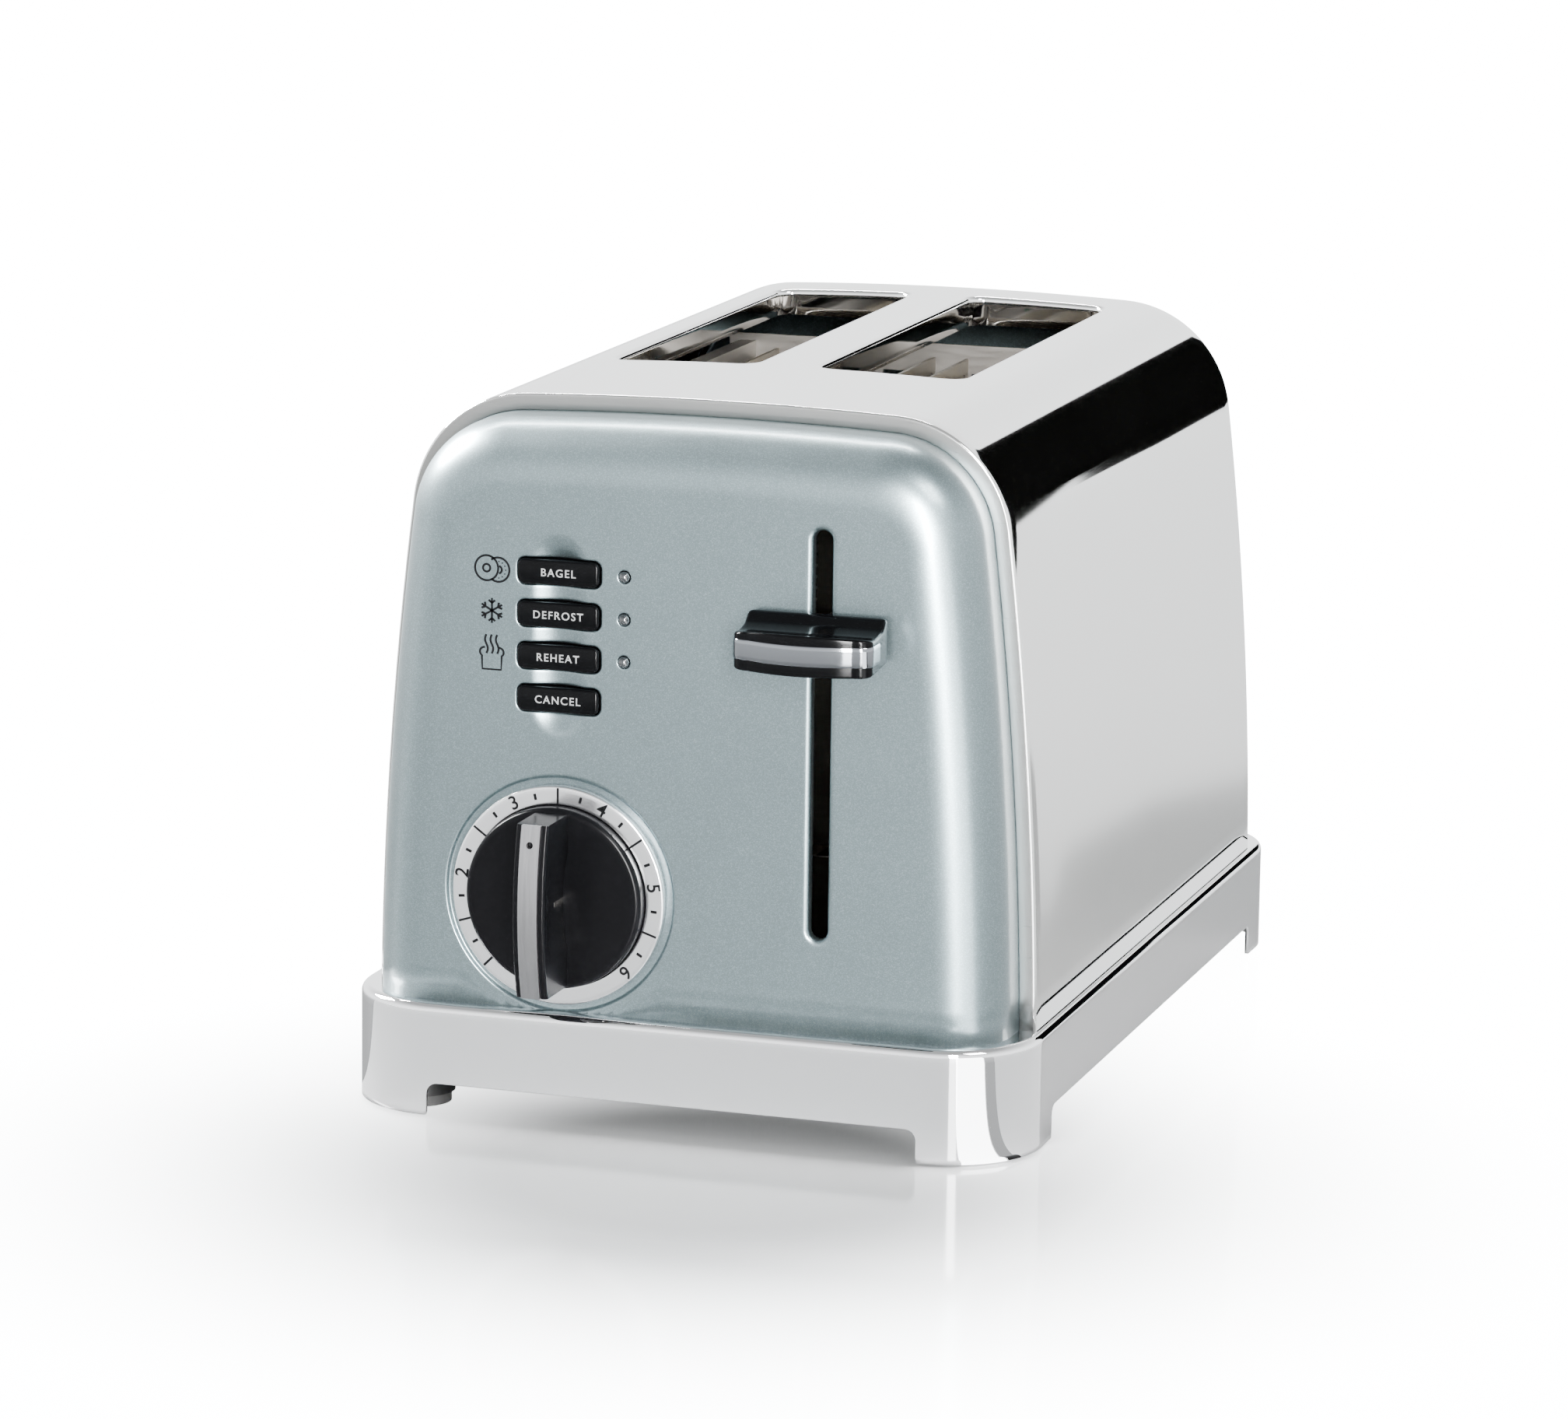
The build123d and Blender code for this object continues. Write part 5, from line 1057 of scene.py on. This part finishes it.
def printed(name, drawings, surface, ink, body="housing", lift=0.05):
    """A thin printed layer: drawings are (points (x, z), faces), laid on y = surface(x, z)."""
    skin = Skin()
    for points, faces in drawings:
        skin.patch([(x, surface(x, z) - lift, z) for x, z in points], faces)
    piece = mesh_piece(name, skin.verts, skin.faces, ink, smooth=False)
    face_towards(piece, lambda c: Vector((0, -1, 0)))
    thicken(piece, lift + 0.04, even=False)
    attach(piece, body)
    return piece


def stroke(points, width, closed=False):
    """A line of even width as points and faces."""
    count = len(points)
    left, right = [], []
    for i, (x, z) in enumerate(points):
        before = points[i - 1] if closed or i > 0 else points[i]
        after = points[(i + 1) % count] if closed or i < count - 1 else points[i]
        dx, dz = after[0] - before[0], after[1] - before[1]
        d = math.hypot(dx, dz) or 1.0
        nx, nz = -dz / d * width / 2, dx / d * width / 2
        left.append((x + nx, z + nz))
        right.append((x - nx, z - nz))
    faces = []
    for i in range(count if closed else count - 1):
        j = (i + 1) % count
        faces.append((i, j, count + j, count + i))
    return left + right, faces


def arc_points(cx, cz, rx, rz, start, end, steps=24):
    return [(cx + rx * math.cos(math.radians(start + (end - start) * i / steps)),
             cz + rz * math.sin(math.radians(start + (end - start) * i / steps)))
            for i in range(steps + 1)]


def make_dial_numbers():
    drawings = []
    for i in range(6):
        angle = 225 - 54 * i
        points, faces = lettering(str(i + 1), 5.2, 0.07)
        a = math.radians(angle)
        turn = a - math.pi / 2
        cx, cz = DIAL_X + NUMBER_RADIUS * math.cos(a), DIAL_Z + NUMBER_RADIUS * math.sin(a)
        placed = [(cx + x * math.cos(turn) - z * math.sin(turn),
                   cz + x * math.sin(turn) + z * math.cos(turn))
                  for x, z in points]
        drawings.append((placed, faces))
    return printed("dial_numbers", drawings, lambda x, z: RING_LOW[1], PRINT_BLACK)


def make_symbols():
    """Plain pictures beside the buttons: rolls, a snowflake and warm toast."""
    w = 0.55
    x, z = SYMBOL_X, BUTTON_HEIGHTS[0]
    rolls = [stroke(arc_points(x - 1.5, z, 3.2, 3.3, 0, 352.5, 47), w, True),
             stroke(arc_points(x - 1.5, z, 1.0, 1.0, 0, 345, 23), w, True),
             stroke(arc_points(x + 1.7, z - 0.3, 3.1, 3.2, -128, 128, 40), w),
             stroke(arc_points(x + 1.7, z - 0.3, 1.0, 1.0, -75, 75, 12), w)]
    for k in range(7):
        a = math.radians(-84 + 28 * k)
        px, pz = x + 1.7 + 2.1 * math.cos(a), z - 0.3 + 2.2 * math.sin(a)
        rolls.append(stroke([(px - 0.16, pz), (px + 0.16, pz)], 0.32))
    x, z = SYMBOL_X, BUTTON_HEIGHTS[1]
    flake = []
    for k in range(6):
        a = math.radians(30 + 60 * k)
        ux, uz = math.cos(a), math.sin(a)
        flake.append(stroke([(x, z), (x + 3.3 * ux, z + 3.3 * uz)], w))
        for turn in (50, -50):
            b = a + math.radians(turn)
            flake.append(stroke([(x + 2.0 * ux, z + 2.0 * uz),
                                 (x + 2.0 * ux + 1.2 * math.cos(b),
                                  z + 2.0 * uz + 1.2 * math.sin(b))], w))
    x, z = SYMBOL_X, BUTTON_HEIGHTS[2] - 1.2
    loaf = [(x - 1.9, z + 2.6)] + arc_points(x - 2.0, z + 1.4, 1.3, 1.2, 100, 235, 10)
    loaf += [(x - 2.6, z - 3.2), (x + 2.6, z - 3.2)] + arc_points(x + 2.0, z + 1.4, 1.3, 1.2, -55,
                                                                  80, 10)
    loaf += [(x + 1.9, z + 2.6)]
    toast = [stroke(loaf, w)]
    for k in (-1, 0, 1):
        wave = [(x + 1.5 * k + 0.4 * math.sin(i / 10 * 2 * math.pi), z + 1.0 + 5.0 * i / 10)
                for i in range(11)]
        toast.append(stroke(wave, w))
    return printed("button_symbols", rolls + flake + toast, lambda x, z: FACE, PRINT_BLACK)


# ---------------------------------------------------------------- knob
def make_knob():
    """A black disc with a bowed grip bar across it, waisted along its flanks."""
    skin = Skin()
    low, high = [[c / MM for c in corner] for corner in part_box("dial_knob")]
    back, disc, top = high[1], FACE - 6.0, low[1]
    profile = [(2.0, back), (KNOB_RADIUS - 0.3, back), (KNOB_RADIUS, back - 0.3),
               (KNOB_RADIUS, disc + 2.4)]
    profile += [(KNOB_RADIUS - 1.6 + 1.6 * math.cos(a), disc + 1.6 - 1.6 * math.sin(a))
                for a in rim_steps(8)]
    profile += [(KNOB_RADIUS - 2.4, disc + 0.02), (18.0, disc + 0.25), (12.0, disc + 0.4),
                (6.0, disc + 0.45), (2.0, disc + 0.45)]
    loops = lathe(skin, profile, 144)
    skin.cap(loops[0])
    skin.cap(loops[-1])
    half, wide, waist, bend = 23.0, 4.3, 1.4, 60.0
    rows = []
    for i in range(49):
        t = -1 + 2 * i / 48
        z = DIAL_Z + half * t
        front = top + 3.2 * t * t
        narrow = wide - max(0.0, waist - (bend - math.sqrt(bend ** 2 - (half * t) ** 2)))
        side = [(narrow, disc + 1.0), (narrow, disc - 0.3), (narrow, disc - 6.0),
                (narrow, front + 5.4),
                (narrow + 0.15 * (wide - narrow), front + 4.9), (wide - 0.25 * (wide - narrow),
                                                                 front + 4.2),
                (wide, front + 3.6), (wide, front + 1.0)]
        side += [(wide - 0.7 + 0.7 * math.cos(a), front + 0.7 - 0.7 * math.sin(a))
                 for a in rim_steps(5)]
        side += [(2.66, front), (2.62, front + 0.05), (2.62, front + 0.9)]
        row = side + [(-x, y) for x, y in reversed(side)]
        rows.append([(DIAL_X + x, y, z) for x, y in row])
    loops = skin.rows(rows)
    skin.cap(loops[0])
    skin.cap(loops[-1])
    piece = mesh_piece("knob_body", skin.verts, skin.faces, DIAL_BLACK)
    sharpen(piece, 40)
    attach(piece, "browning_knob")
    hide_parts("dial_knob")
    return piece


# ---------------------------------------------------------------- buttons
def make_button(name, z, word):
    """A pillow-shaped button with its flange and pusher, and its word."""
    low, high = [[c / MM for c in corner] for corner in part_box(f"button_{name}")]
    front, flange = low[1], FACE + 4.6
    wide, tall, r, roll = BUTTON_WIDTH, BUTTON_HEIGHT, BUTTON_CORNER, 0.8

    def pillow(x, zz):
        u, w = (x - BUTTON_X) / (wide / 2), (zz - z) / (tall / 2)
        return front + 0.62 * w * w + 0.3 * u ** 4

    outline = lambda grow: rounded_rect(BUTTON_X, z, wide, tall, r, grow, 8, (26, 6))
    skin = Skin()
    rows = [[(x, flange, zz) for x, zz in outline(-0.1)], [(x, front + 2.6, zz) for x,
                                                           zz in outline(0)]]
    for a in rim_steps(7):
        edge, ring_in = outline(-roll), outline(-roll * (1 - math.cos(a)))
        rows.append([(x, pillow(ex, ez) + roll * (1 - math.sin(a)), zz)
                     for (x, zz), (ex, ez) in zip(ring_in, edge)])
    loops = skin.rows(rows)
    skin.cap(loops[0])
    grid = [(BUTTON_X + i * 0.55, z + k * 0.5) for i in range(-19, 20) for k in range(-5, 6)]
    border = outline(-roll)
    flat, faces = fill_plate(border, [], [p for p in grid if not near_loop(p, border, 0.28)])
    skin.patch([(x, pillow(x, zz), zz) for x, zz in flat], faces)
    for hx, hz, y0, y1 in ((high[0] - BUTTON_X, high[2] - z, flange - 0.4, flange + 1.2),
                           (2.0, 2.0, flange + 1.0, high[1])):
        base = [(BUTTON_X + sx * hx, z + sz * hz) for sx, sz in ((1, 1), (-1, 1), (-1, -1),
                                                                 (1, -1))]
        box_loops = skin.rows([[(x, y, zz) for x, zz in base] for y in (y0, y1)])
        skin.cap(box_loops[0])
        skin.cap(box_loops[1])
    piece = mesh_piece(f"push_button_{name}", skin.verts, skin.faces, GLOSS_BLACK)
    sharpen(piece, 40)
    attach(piece, f"button_{name}")
    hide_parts(f"button_{name}")
    points, faces = lettering(word, 2.9, 0.03)
    placed = [(BUTTON_X + 0.3 + x, z + zz) for x, zz in points]
    words = printed(f"word_{name}", [(placed, faces)], pillow, PRINT_WHITE, f"button_{name}", 0.12)
    return piece


# ---------------------------------------------------------------- push-down lever
def make_lever():
    """The lever's handle: a bowed nose, a saddle on top with a raised back ridge."""
    low, high = [[c / MM for c in corner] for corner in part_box("lever_handle")]
    half, front, back = (high[0] - low[0]) / 2, low[1], high[1]
    bottom, ridge = low[2], high[2]
    cx = (low[0] + high[0]) / 2
    bow, corner = 3.0, 4.2

    def plan(inset):
        points = []
        h, f, b, c = half - inset, front + inset, back - inset, corner - inset * 0.6
        for i in range(13):
            a = math.pi / 2 * i / 12
            points.append((cx + h - c * (1 - math.cos(a)), f + bow + c * (1 - math.sin(a)) * 0.8))
        for i in range(1, 40):
            t = 1 - 2 * i / 40
            x = (h - c) * t
            points.append((cx + x, f + bow * t * t))
        for i in range(13):
            a = math.pi / 2 * i / 12
            points.append((cx - h + c * (1 - math.sin(a)), f + bow + c * (1 - math.cos(a)) * 0.8))
        points += [(cx - h, f + bow + c + (b - 2 - f - bow - c) * i / 10) for i in range(1, 10)]
        points += [(cx - h + 2 * (1 - math.cos(math.pi / 2 * i / 6)),
                    b - 2 + 2 * math.sin(math.pi / 2 * i / 6))
                   for i in range(7)]
        points += [(cx - h + 2 + (2 * h - 4) * i / 30, b) for i in range(1, 30)]
        points += [(cx + h - 2 * (1 - math.sin(math.pi / 2 * i / 6)),
                    b - 2 + 2 * math.cos(math.pi / 2 * i / 6))
                   for i in range(7)]
        points += [(cx + h, b - 2 - (b - 2 - f - bow - c) * i / 10) for i in range(1, 10)]
        return points

    def top(x, y):
        share = min(1.0, max(0.0, (y - front) / (back - front)))
        nose = ridge - 2.4 - 1.1 * math.sin(math.pi * min(1.0, share / 0.78)) ** 1.5
        rise = 1 / (1 + math.exp(-(share - 0.80) * 34))
        return nose + (ridge - nose) * rise

    skin = Skin()
    lowest = lambda y: bottom + 1.6 * max(0.0, (y - front - 4) / (back - front - 4))
    rows = [[(x, y, lowest(y)) for x, y in plan(0.9)]]
    for a in rim_steps(5)[1:]:
        rows.append([(x, y, lowest(y) + 0.8 * (1 - math.cos(a))) for x,
                     y in plan(0.8 * (1 - math.sin(a)))])
    rows.append([(x, y, 132.2) for x, y in plan(0)])
    rows.append([(x, y, 137.8) for x, y in plan(0)])
    for a in rim_steps(6):
        inner = plan(1.0 * (1 - math.cos(a)))
        rows.append([(x, y, top(x, y) - 1.0 * (1 - math.sin(a))) for x, y in inner])
    loops = skin.rows(rows)
    skin.cap(loops[0])
    border = plan(1.0)
    grid = [(cx + i * 0.8, front + k * 0.55) for i in range(-24, 25) for k in range(1, 38)]
    flat, faces = fill_plate(border, [], [p for p in grid if not near_loop(p, border, 0.35)])
    skin.patch([(x, y, top(x, y)) for x, y in flat], faces)
    piece = mesh_piece("lever_grip", skin.verts, skin.faces, GLOSS_BLACK)
    sharpen(piece, 50)
    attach(piece, "carriage")
    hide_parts("lever_handle")
    band = Skin()
    trim_low, trim_high = [[c / MM for c in corner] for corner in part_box("lever_trim")]
    section = [(-0.9, trim_low[2] + 0.1), (0.05, trim_low[2] + 0.1), (0.2, trim_low[2] + 0.35),
               (0.25, trim_low[2] + 1.2),
               (0.25, trim_high[2] - 1.2), (0.2, trim_high[2] - 0.35), (0.05, trim_high[2] - 0.1),
               (-0.9, trim_high[2] - 0.1)]
    rows = [[(x, y, z) for x, y in trimmed(plan(-g), plan(0), trim_high[1])] for g, z in section]
    loops = band.rows(rows + [rows[0]], closed=False)
    for end in (0, -1):
        band.cap([loop[end] for loop in loops[:-1]])
    # The band's chrome colour is darkened as a painted dark reflection.
    trim = mesh_piece("lever_band", band.verts, band.faces, BAND_CHROME_PAINTED_DARK)
    sharpen(trim, 40)
    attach(trim, "carriage")
    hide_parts("lever_trim")
    return piece


def trimmed(points, guide, back):
    """The part of an outline ahead of back, in order from one end to the other."""
    chosen = [i for i, p in enumerate(guide) if p[1] < back]
    gap = next((k for k in range(1, len(chosen)) if chosen[k] - chosen[k - 1] > 1), 0)
    order = chosen[gap:] + chosen[:gap]
    return [points[i] for i in order]


finish_cad_nodes()
make_wrap()
make_front_panel()
make_rear_panel()
make_skirt()
make_dial_ring()
MARKS = tick_nodes()
make_ticks("dial_long_marks", MARKS, 5, 198.0, -54.0, NUMBER_RADIUS, 4.2, 0.6)
make_ticks("dial_short_marks", MARKS, 10, 211.5, -27.0, NUMBER_RADIUS, 1.7, 0.75)
make_dial_numbers()
make_symbols()
make_knob()
for button_name, button_z, button_word in zip(("bagel", "defrost", "reheat", "cancel"),
                                              BUTTON_HEIGHTS,
                                              ("BAGEL", "DEFROST", "REHEAT", "CANCEL")):
    make_button(button_name, button_z, button_word)
make_lever()


# ---------------------------------------------------------------- camera, floor and lights
def make_camera():
    """A long lens, turned 18.5 degrees to the right of the face and 11.7 degrees down."""
    yaw, pitch, roll = math.radians(18.51), math.radians(11.69), math.radians(0.55)
    forward = Vector((-math.sin(yaw) * math.cos(pitch), math.cos(yaw) * math.cos(pitch),
                      -math.sin(pitch)))
    right = Vector((math.cos(yaw), math.sin(yaw), 0.0))
    up = right.cross(forward)
    turned_right = right * math.cos(roll) + up * math.sin(roll)
    turned_up = up * math.cos(roll) - right * math.sin(roll)
    camera = bpy.data.objects.new("camera", bpy.data.cameras.new("camera"))
    bpy.context.scene.collection.objects.link(camera)
    camera.matrix_world = Matrix((
        (turned_right.x, turned_up.x, -forward.x, 0.5192),
        (turned_right.y, turned_up.y, -forward.y, -1.6726),
        (turned_right.z, turned_up.z, -forward.z, 0.4479),
        (0, 0, 0, 1)))
    camera.data.lens = 147.4
    camera.data.sensor_width = 36.0
    camera.data.shift_x = 0.060
    camera.data.shift_y = 0.007
    camera.data.clip_start = 0.05
    camera.data.clip_end = 50.0
    bpy.context.scene.camera = camera


def flat_sheet(name, corners, material):
    """A four-cornered studio sheet in metres, which is no part of the toaster."""
    mesh = bpy.data.meshes.new(name)
    mesh.from_pydata(corners, [], [(0, 1, 2, 3)])
    sheet = bpy.data.objects.new(name, mesh)
    bpy.context.scene.collection.objects.link(sheet)
    mesh.materials.append(material)
    return sheet


def soft_light(name, place, aim, width, height, power):
    """A soft box that shows in shiny and metallic surfaces and leaves the floor alone."""
    lamp = bpy.data.lights.new(name, "AREA")
    lamp.shape = "RECTANGLE"
    lamp.size, lamp.size_y = width, height
    lamp.energy = power
    holder = bpy.data.objects.new(name, lamp)
    bpy.context.scene.collection.objects.link(holder)
    holder.location = place
    holder.visible_diffuse = False
    holder.rotation_euler = (Vector(aim) - Vector(place)).to_track_quat("-Z", "Y").to_euler()
    return holder


def make_world():
    """White all round, brightest at the horizon, pure white where the lens sees it directly."""
    world = bpy.data.worlds.new("white_studio")
    bpy.context.scene.world = world
    world.use_nodes = True
    tree = world.node_tree
    place = tree.nodes.new("ShaderNodeTexCoord")
    split = tree.nodes.new("ShaderNodeSeparateXYZ")
    tree.links.new(place.outputs["Generated"], split.inputs[0])
    ramp = tree.nodes.new("ShaderNodeMapRange")
    tree.links.new(split.outputs[2], ramp.inputs["Value"])
    for label, value in (("From Min", 0.25), ("From Max", 0.85), ("To Min", 2.7), ("To Max", 0.6)):
        ramp.inputs[label].default_value = value
    path = tree.nodes.new("ShaderNodeLightPath")
    seen = math_node(tree, "MULTIPLY", path.outputs["Is Camera Ray"], 40.0)
    strength = math_node(tree, "ADD", ramp.outputs["Result"], seen)
    tree.links.new(strength, tree.nodes["Background"].inputs["Strength"])
    tree.nodes["Background"].inputs["Color"].default_value = (0.97, 0.99, 1.0, 1)


def sector(tree, place, corner, low, high):
    """1 where a floor point lies between two directions, in degrees, as seen from a corner of the skirt."""
    shift = tree.nodes.new("ShaderNodeVectorMath")
    shift.operation = "SUBTRACT"
    tree.links.new(place, shift.inputs[0])
    shift.inputs[1].default_value = (*corner, 0)
    split = tree.nodes.new("ShaderNodeSeparateXYZ")
    tree.links.new(shift.outputs[0], split.inputs[0])
    ahead = math_node(tree, "MULTIPLY", split.outputs[1], -1.0)
    angle = math_node(tree, "DEGREES", math_node(tree, "ARCTAN2", split.outputs[0], ahead))
    after = math_node(tree, "GREATER_THAN", angle, low)
    before = math_node(tree, "LESS_THAN", angle, high)
    return math_node(tree, "MULTIPLY", after, before)


def floor_material():
    """Glossy white floor with painted shade close to the toaster, a painted glow that makes it pure white
    where the lens sees it far away, and patches seen only in reflections that paint dark and bright
    reflections into the chrome.
    """
    material, tree, shader = start_material("white_floor")
    place = tree.nodes.new("ShaderNodeNewGeometry").outputs["Position"]
    centred = tree.nodes.new("ShaderNodeVectorMath")
    centred.operation = "SUBTRACT"
    reach = tree.nodes.new("ShaderNodeVectorMath")
    reach.operation = "LENGTH"
    tree.links.new(place, centred.inputs[0])
    centred.inputs[1].default_value = (0.02, -0.16, 0)
    tree.links.new(centred.outputs[0], reach.inputs[0])
    # near darkens the floor's colour close to the toaster: painted shade. far is a glow that only the lens
    # sees, low near the toaster and strong far off: painted light.
    near = tree.nodes.new("ShaderNodeMapRange")
    far = tree.nodes.new("ShaderNodeMapRange")
    far.interpolation_type = "SMOOTHSTEP"
    for node, values in ((near, (0.25, 0.8, 0.78, 0.98)), (far, (0.05, 0.24, 0.15, 15.0))):
        tree.links.new(reach.outputs["Value"], node.inputs["Value"])
        for label, value in zip(("From Min", "From Max", "To Min", "To Max"), values):
            node.inputs[label].default_value = value
    path = tree.nodes.new("ShaderNodeLightPath")
    right = (SKIRT_HIGH[0] * MM - 0.026, SKIRT_LOW[1] * MM + 0.026)
    left = (SKIRT_LOW[0] * MM + 0.026, SKIRT_LOW[1] * MM + 0.026)
    # Sectors seen from the skirt's front corners turn dark only in reflections: a painted dark reflection.
    dark = math_node(tree, "ADD", sector(tree, place, right, 57, 68), sector(tree, place, left,
                                                                             -141, -91))
    mirrored = path.outputs["Is Glossy Ray"]
    dark = math_node(tree, "MULTIPLY", dark, mirrored)
    # A sector from the skirt's right corner that glows only in reflections: a painted bright reflection.
    bright = math_node(tree, "MULTIPLY", sector(tree, place, right, 26, 56), mirrored)
    grain = place_group(tree, MOTTLE, Colour=(0.95, 0.95, 0.95, 1), Second=(1, 1, 1, 1), Scale=2.0,
                        Base=0.08, Spread=0.03)
    # shade multiplies the painted shade and the painted dark reflection into the floor's colour.
    shade = math_node(tree, "MULTIPLY", near.outputs["Result"], math_node(tree, "SUBTRACT", 1.0,
                                                                          dark))
    mix = tree.nodes.new("ShaderNodeMix")
    mix.data_type = "RGBA"
    mix.blend_type = "MULTIPLY"
    mix.inputs[0].default_value = 1.0
    tree.links.new(grain.outputs["Colour"], mix.inputs[6])
    tree.links.new(shade, mix.inputs[7])
    tree.links.new(mix.outputs[2], shader.inputs["Base Color"])
    tree.links.new(grain.outputs["Roughness"], shader.inputs["Roughness"])
    # The lens sees the painted glow, faint near the toaster and bright far off; reflections see the painted
    # bright sector.
    seen = math_node(tree, "MULTIPLY", far.outputs["Result"], path.outputs["Is Camera Ray"])
    glow = math_node(tree, "ADD", seen, math_node(tree, "MULTIPLY", bright, 9.0))
    tree.links.new(glow, shader.inputs["Emission Strength"])
    shader.inputs["Emission Color"].default_value = (0.97, 0.99, 1.0, 1)
    return material


def card(name, corners, material):
    """A studio card that only shows in reflections."""
    mesh = bpy.data.meshes.new(name)
    mesh.from_pydata(corners, [], [tuple(range(len(corners)))])
    sheet = bpy.data.objects.new(name, mesh)
    bpy.context.scene.collection.objects.link(sheet)
    mesh.materials.append(material)
    sheet.visible_camera = False
    sheet.visible_shadow = False
    sheet.visible_diffuse = False
    return sheet


def behind(u, z):
    """A place on the upright plane behind the toaster's right shoulder, in metres."""
    return (0.9 * 0.352 + 0.936 * u, 0.9 * 0.936 - 0.352 * u, z)


def make_studio():
    make_world()
    floor = flat_sheet("floor", [(-6, -6, 0), (6, -6, 0), (6, 9, 0), (-6, 9, 0)], floor_material())
    black = moulded("black_card", (0.001, 0.001, 0.001), (0.002, 0.002, 0.002), 0.9, 0.05, 3.0, 0.0,
                    shine=0.0)
    outline = [(0.16, 0.05), (0.122, 0.055), (0.078, 0.07), (0.06, 0.111), (0.045, 0.156),
               (0.04, 0.116), (0, 0.10),
               (-0.25, 0.10), (-0.156, 0.38), (-0.12, 0.463), (-0.10, 0.52), (0.16, 0.52)]
    card("black_card", [behind(u, z) for u, z in outline], black)
    soft_light("left_high", (-1.25, 0.20, 0.95), (-0.06, -0.12, 0.16), 0.5, 0.5, 520)
    soft_light("right_high", (0.95, -0.65, 1.25), (0.05, -0.12, 0.15), 0.5, 0.5, 24)
    soft_light("right_tall", (0.55, -1.20, 0.42), (0.07, -0.12, 0.1), 0.2, 0.8, 150)
    soft_light("back_bar", (-0.45, 0.75, 1.4), (0.0, -0.1, 0.19), 1.3, 0.06, 40)
    return floor


make_camera()
make_studio()
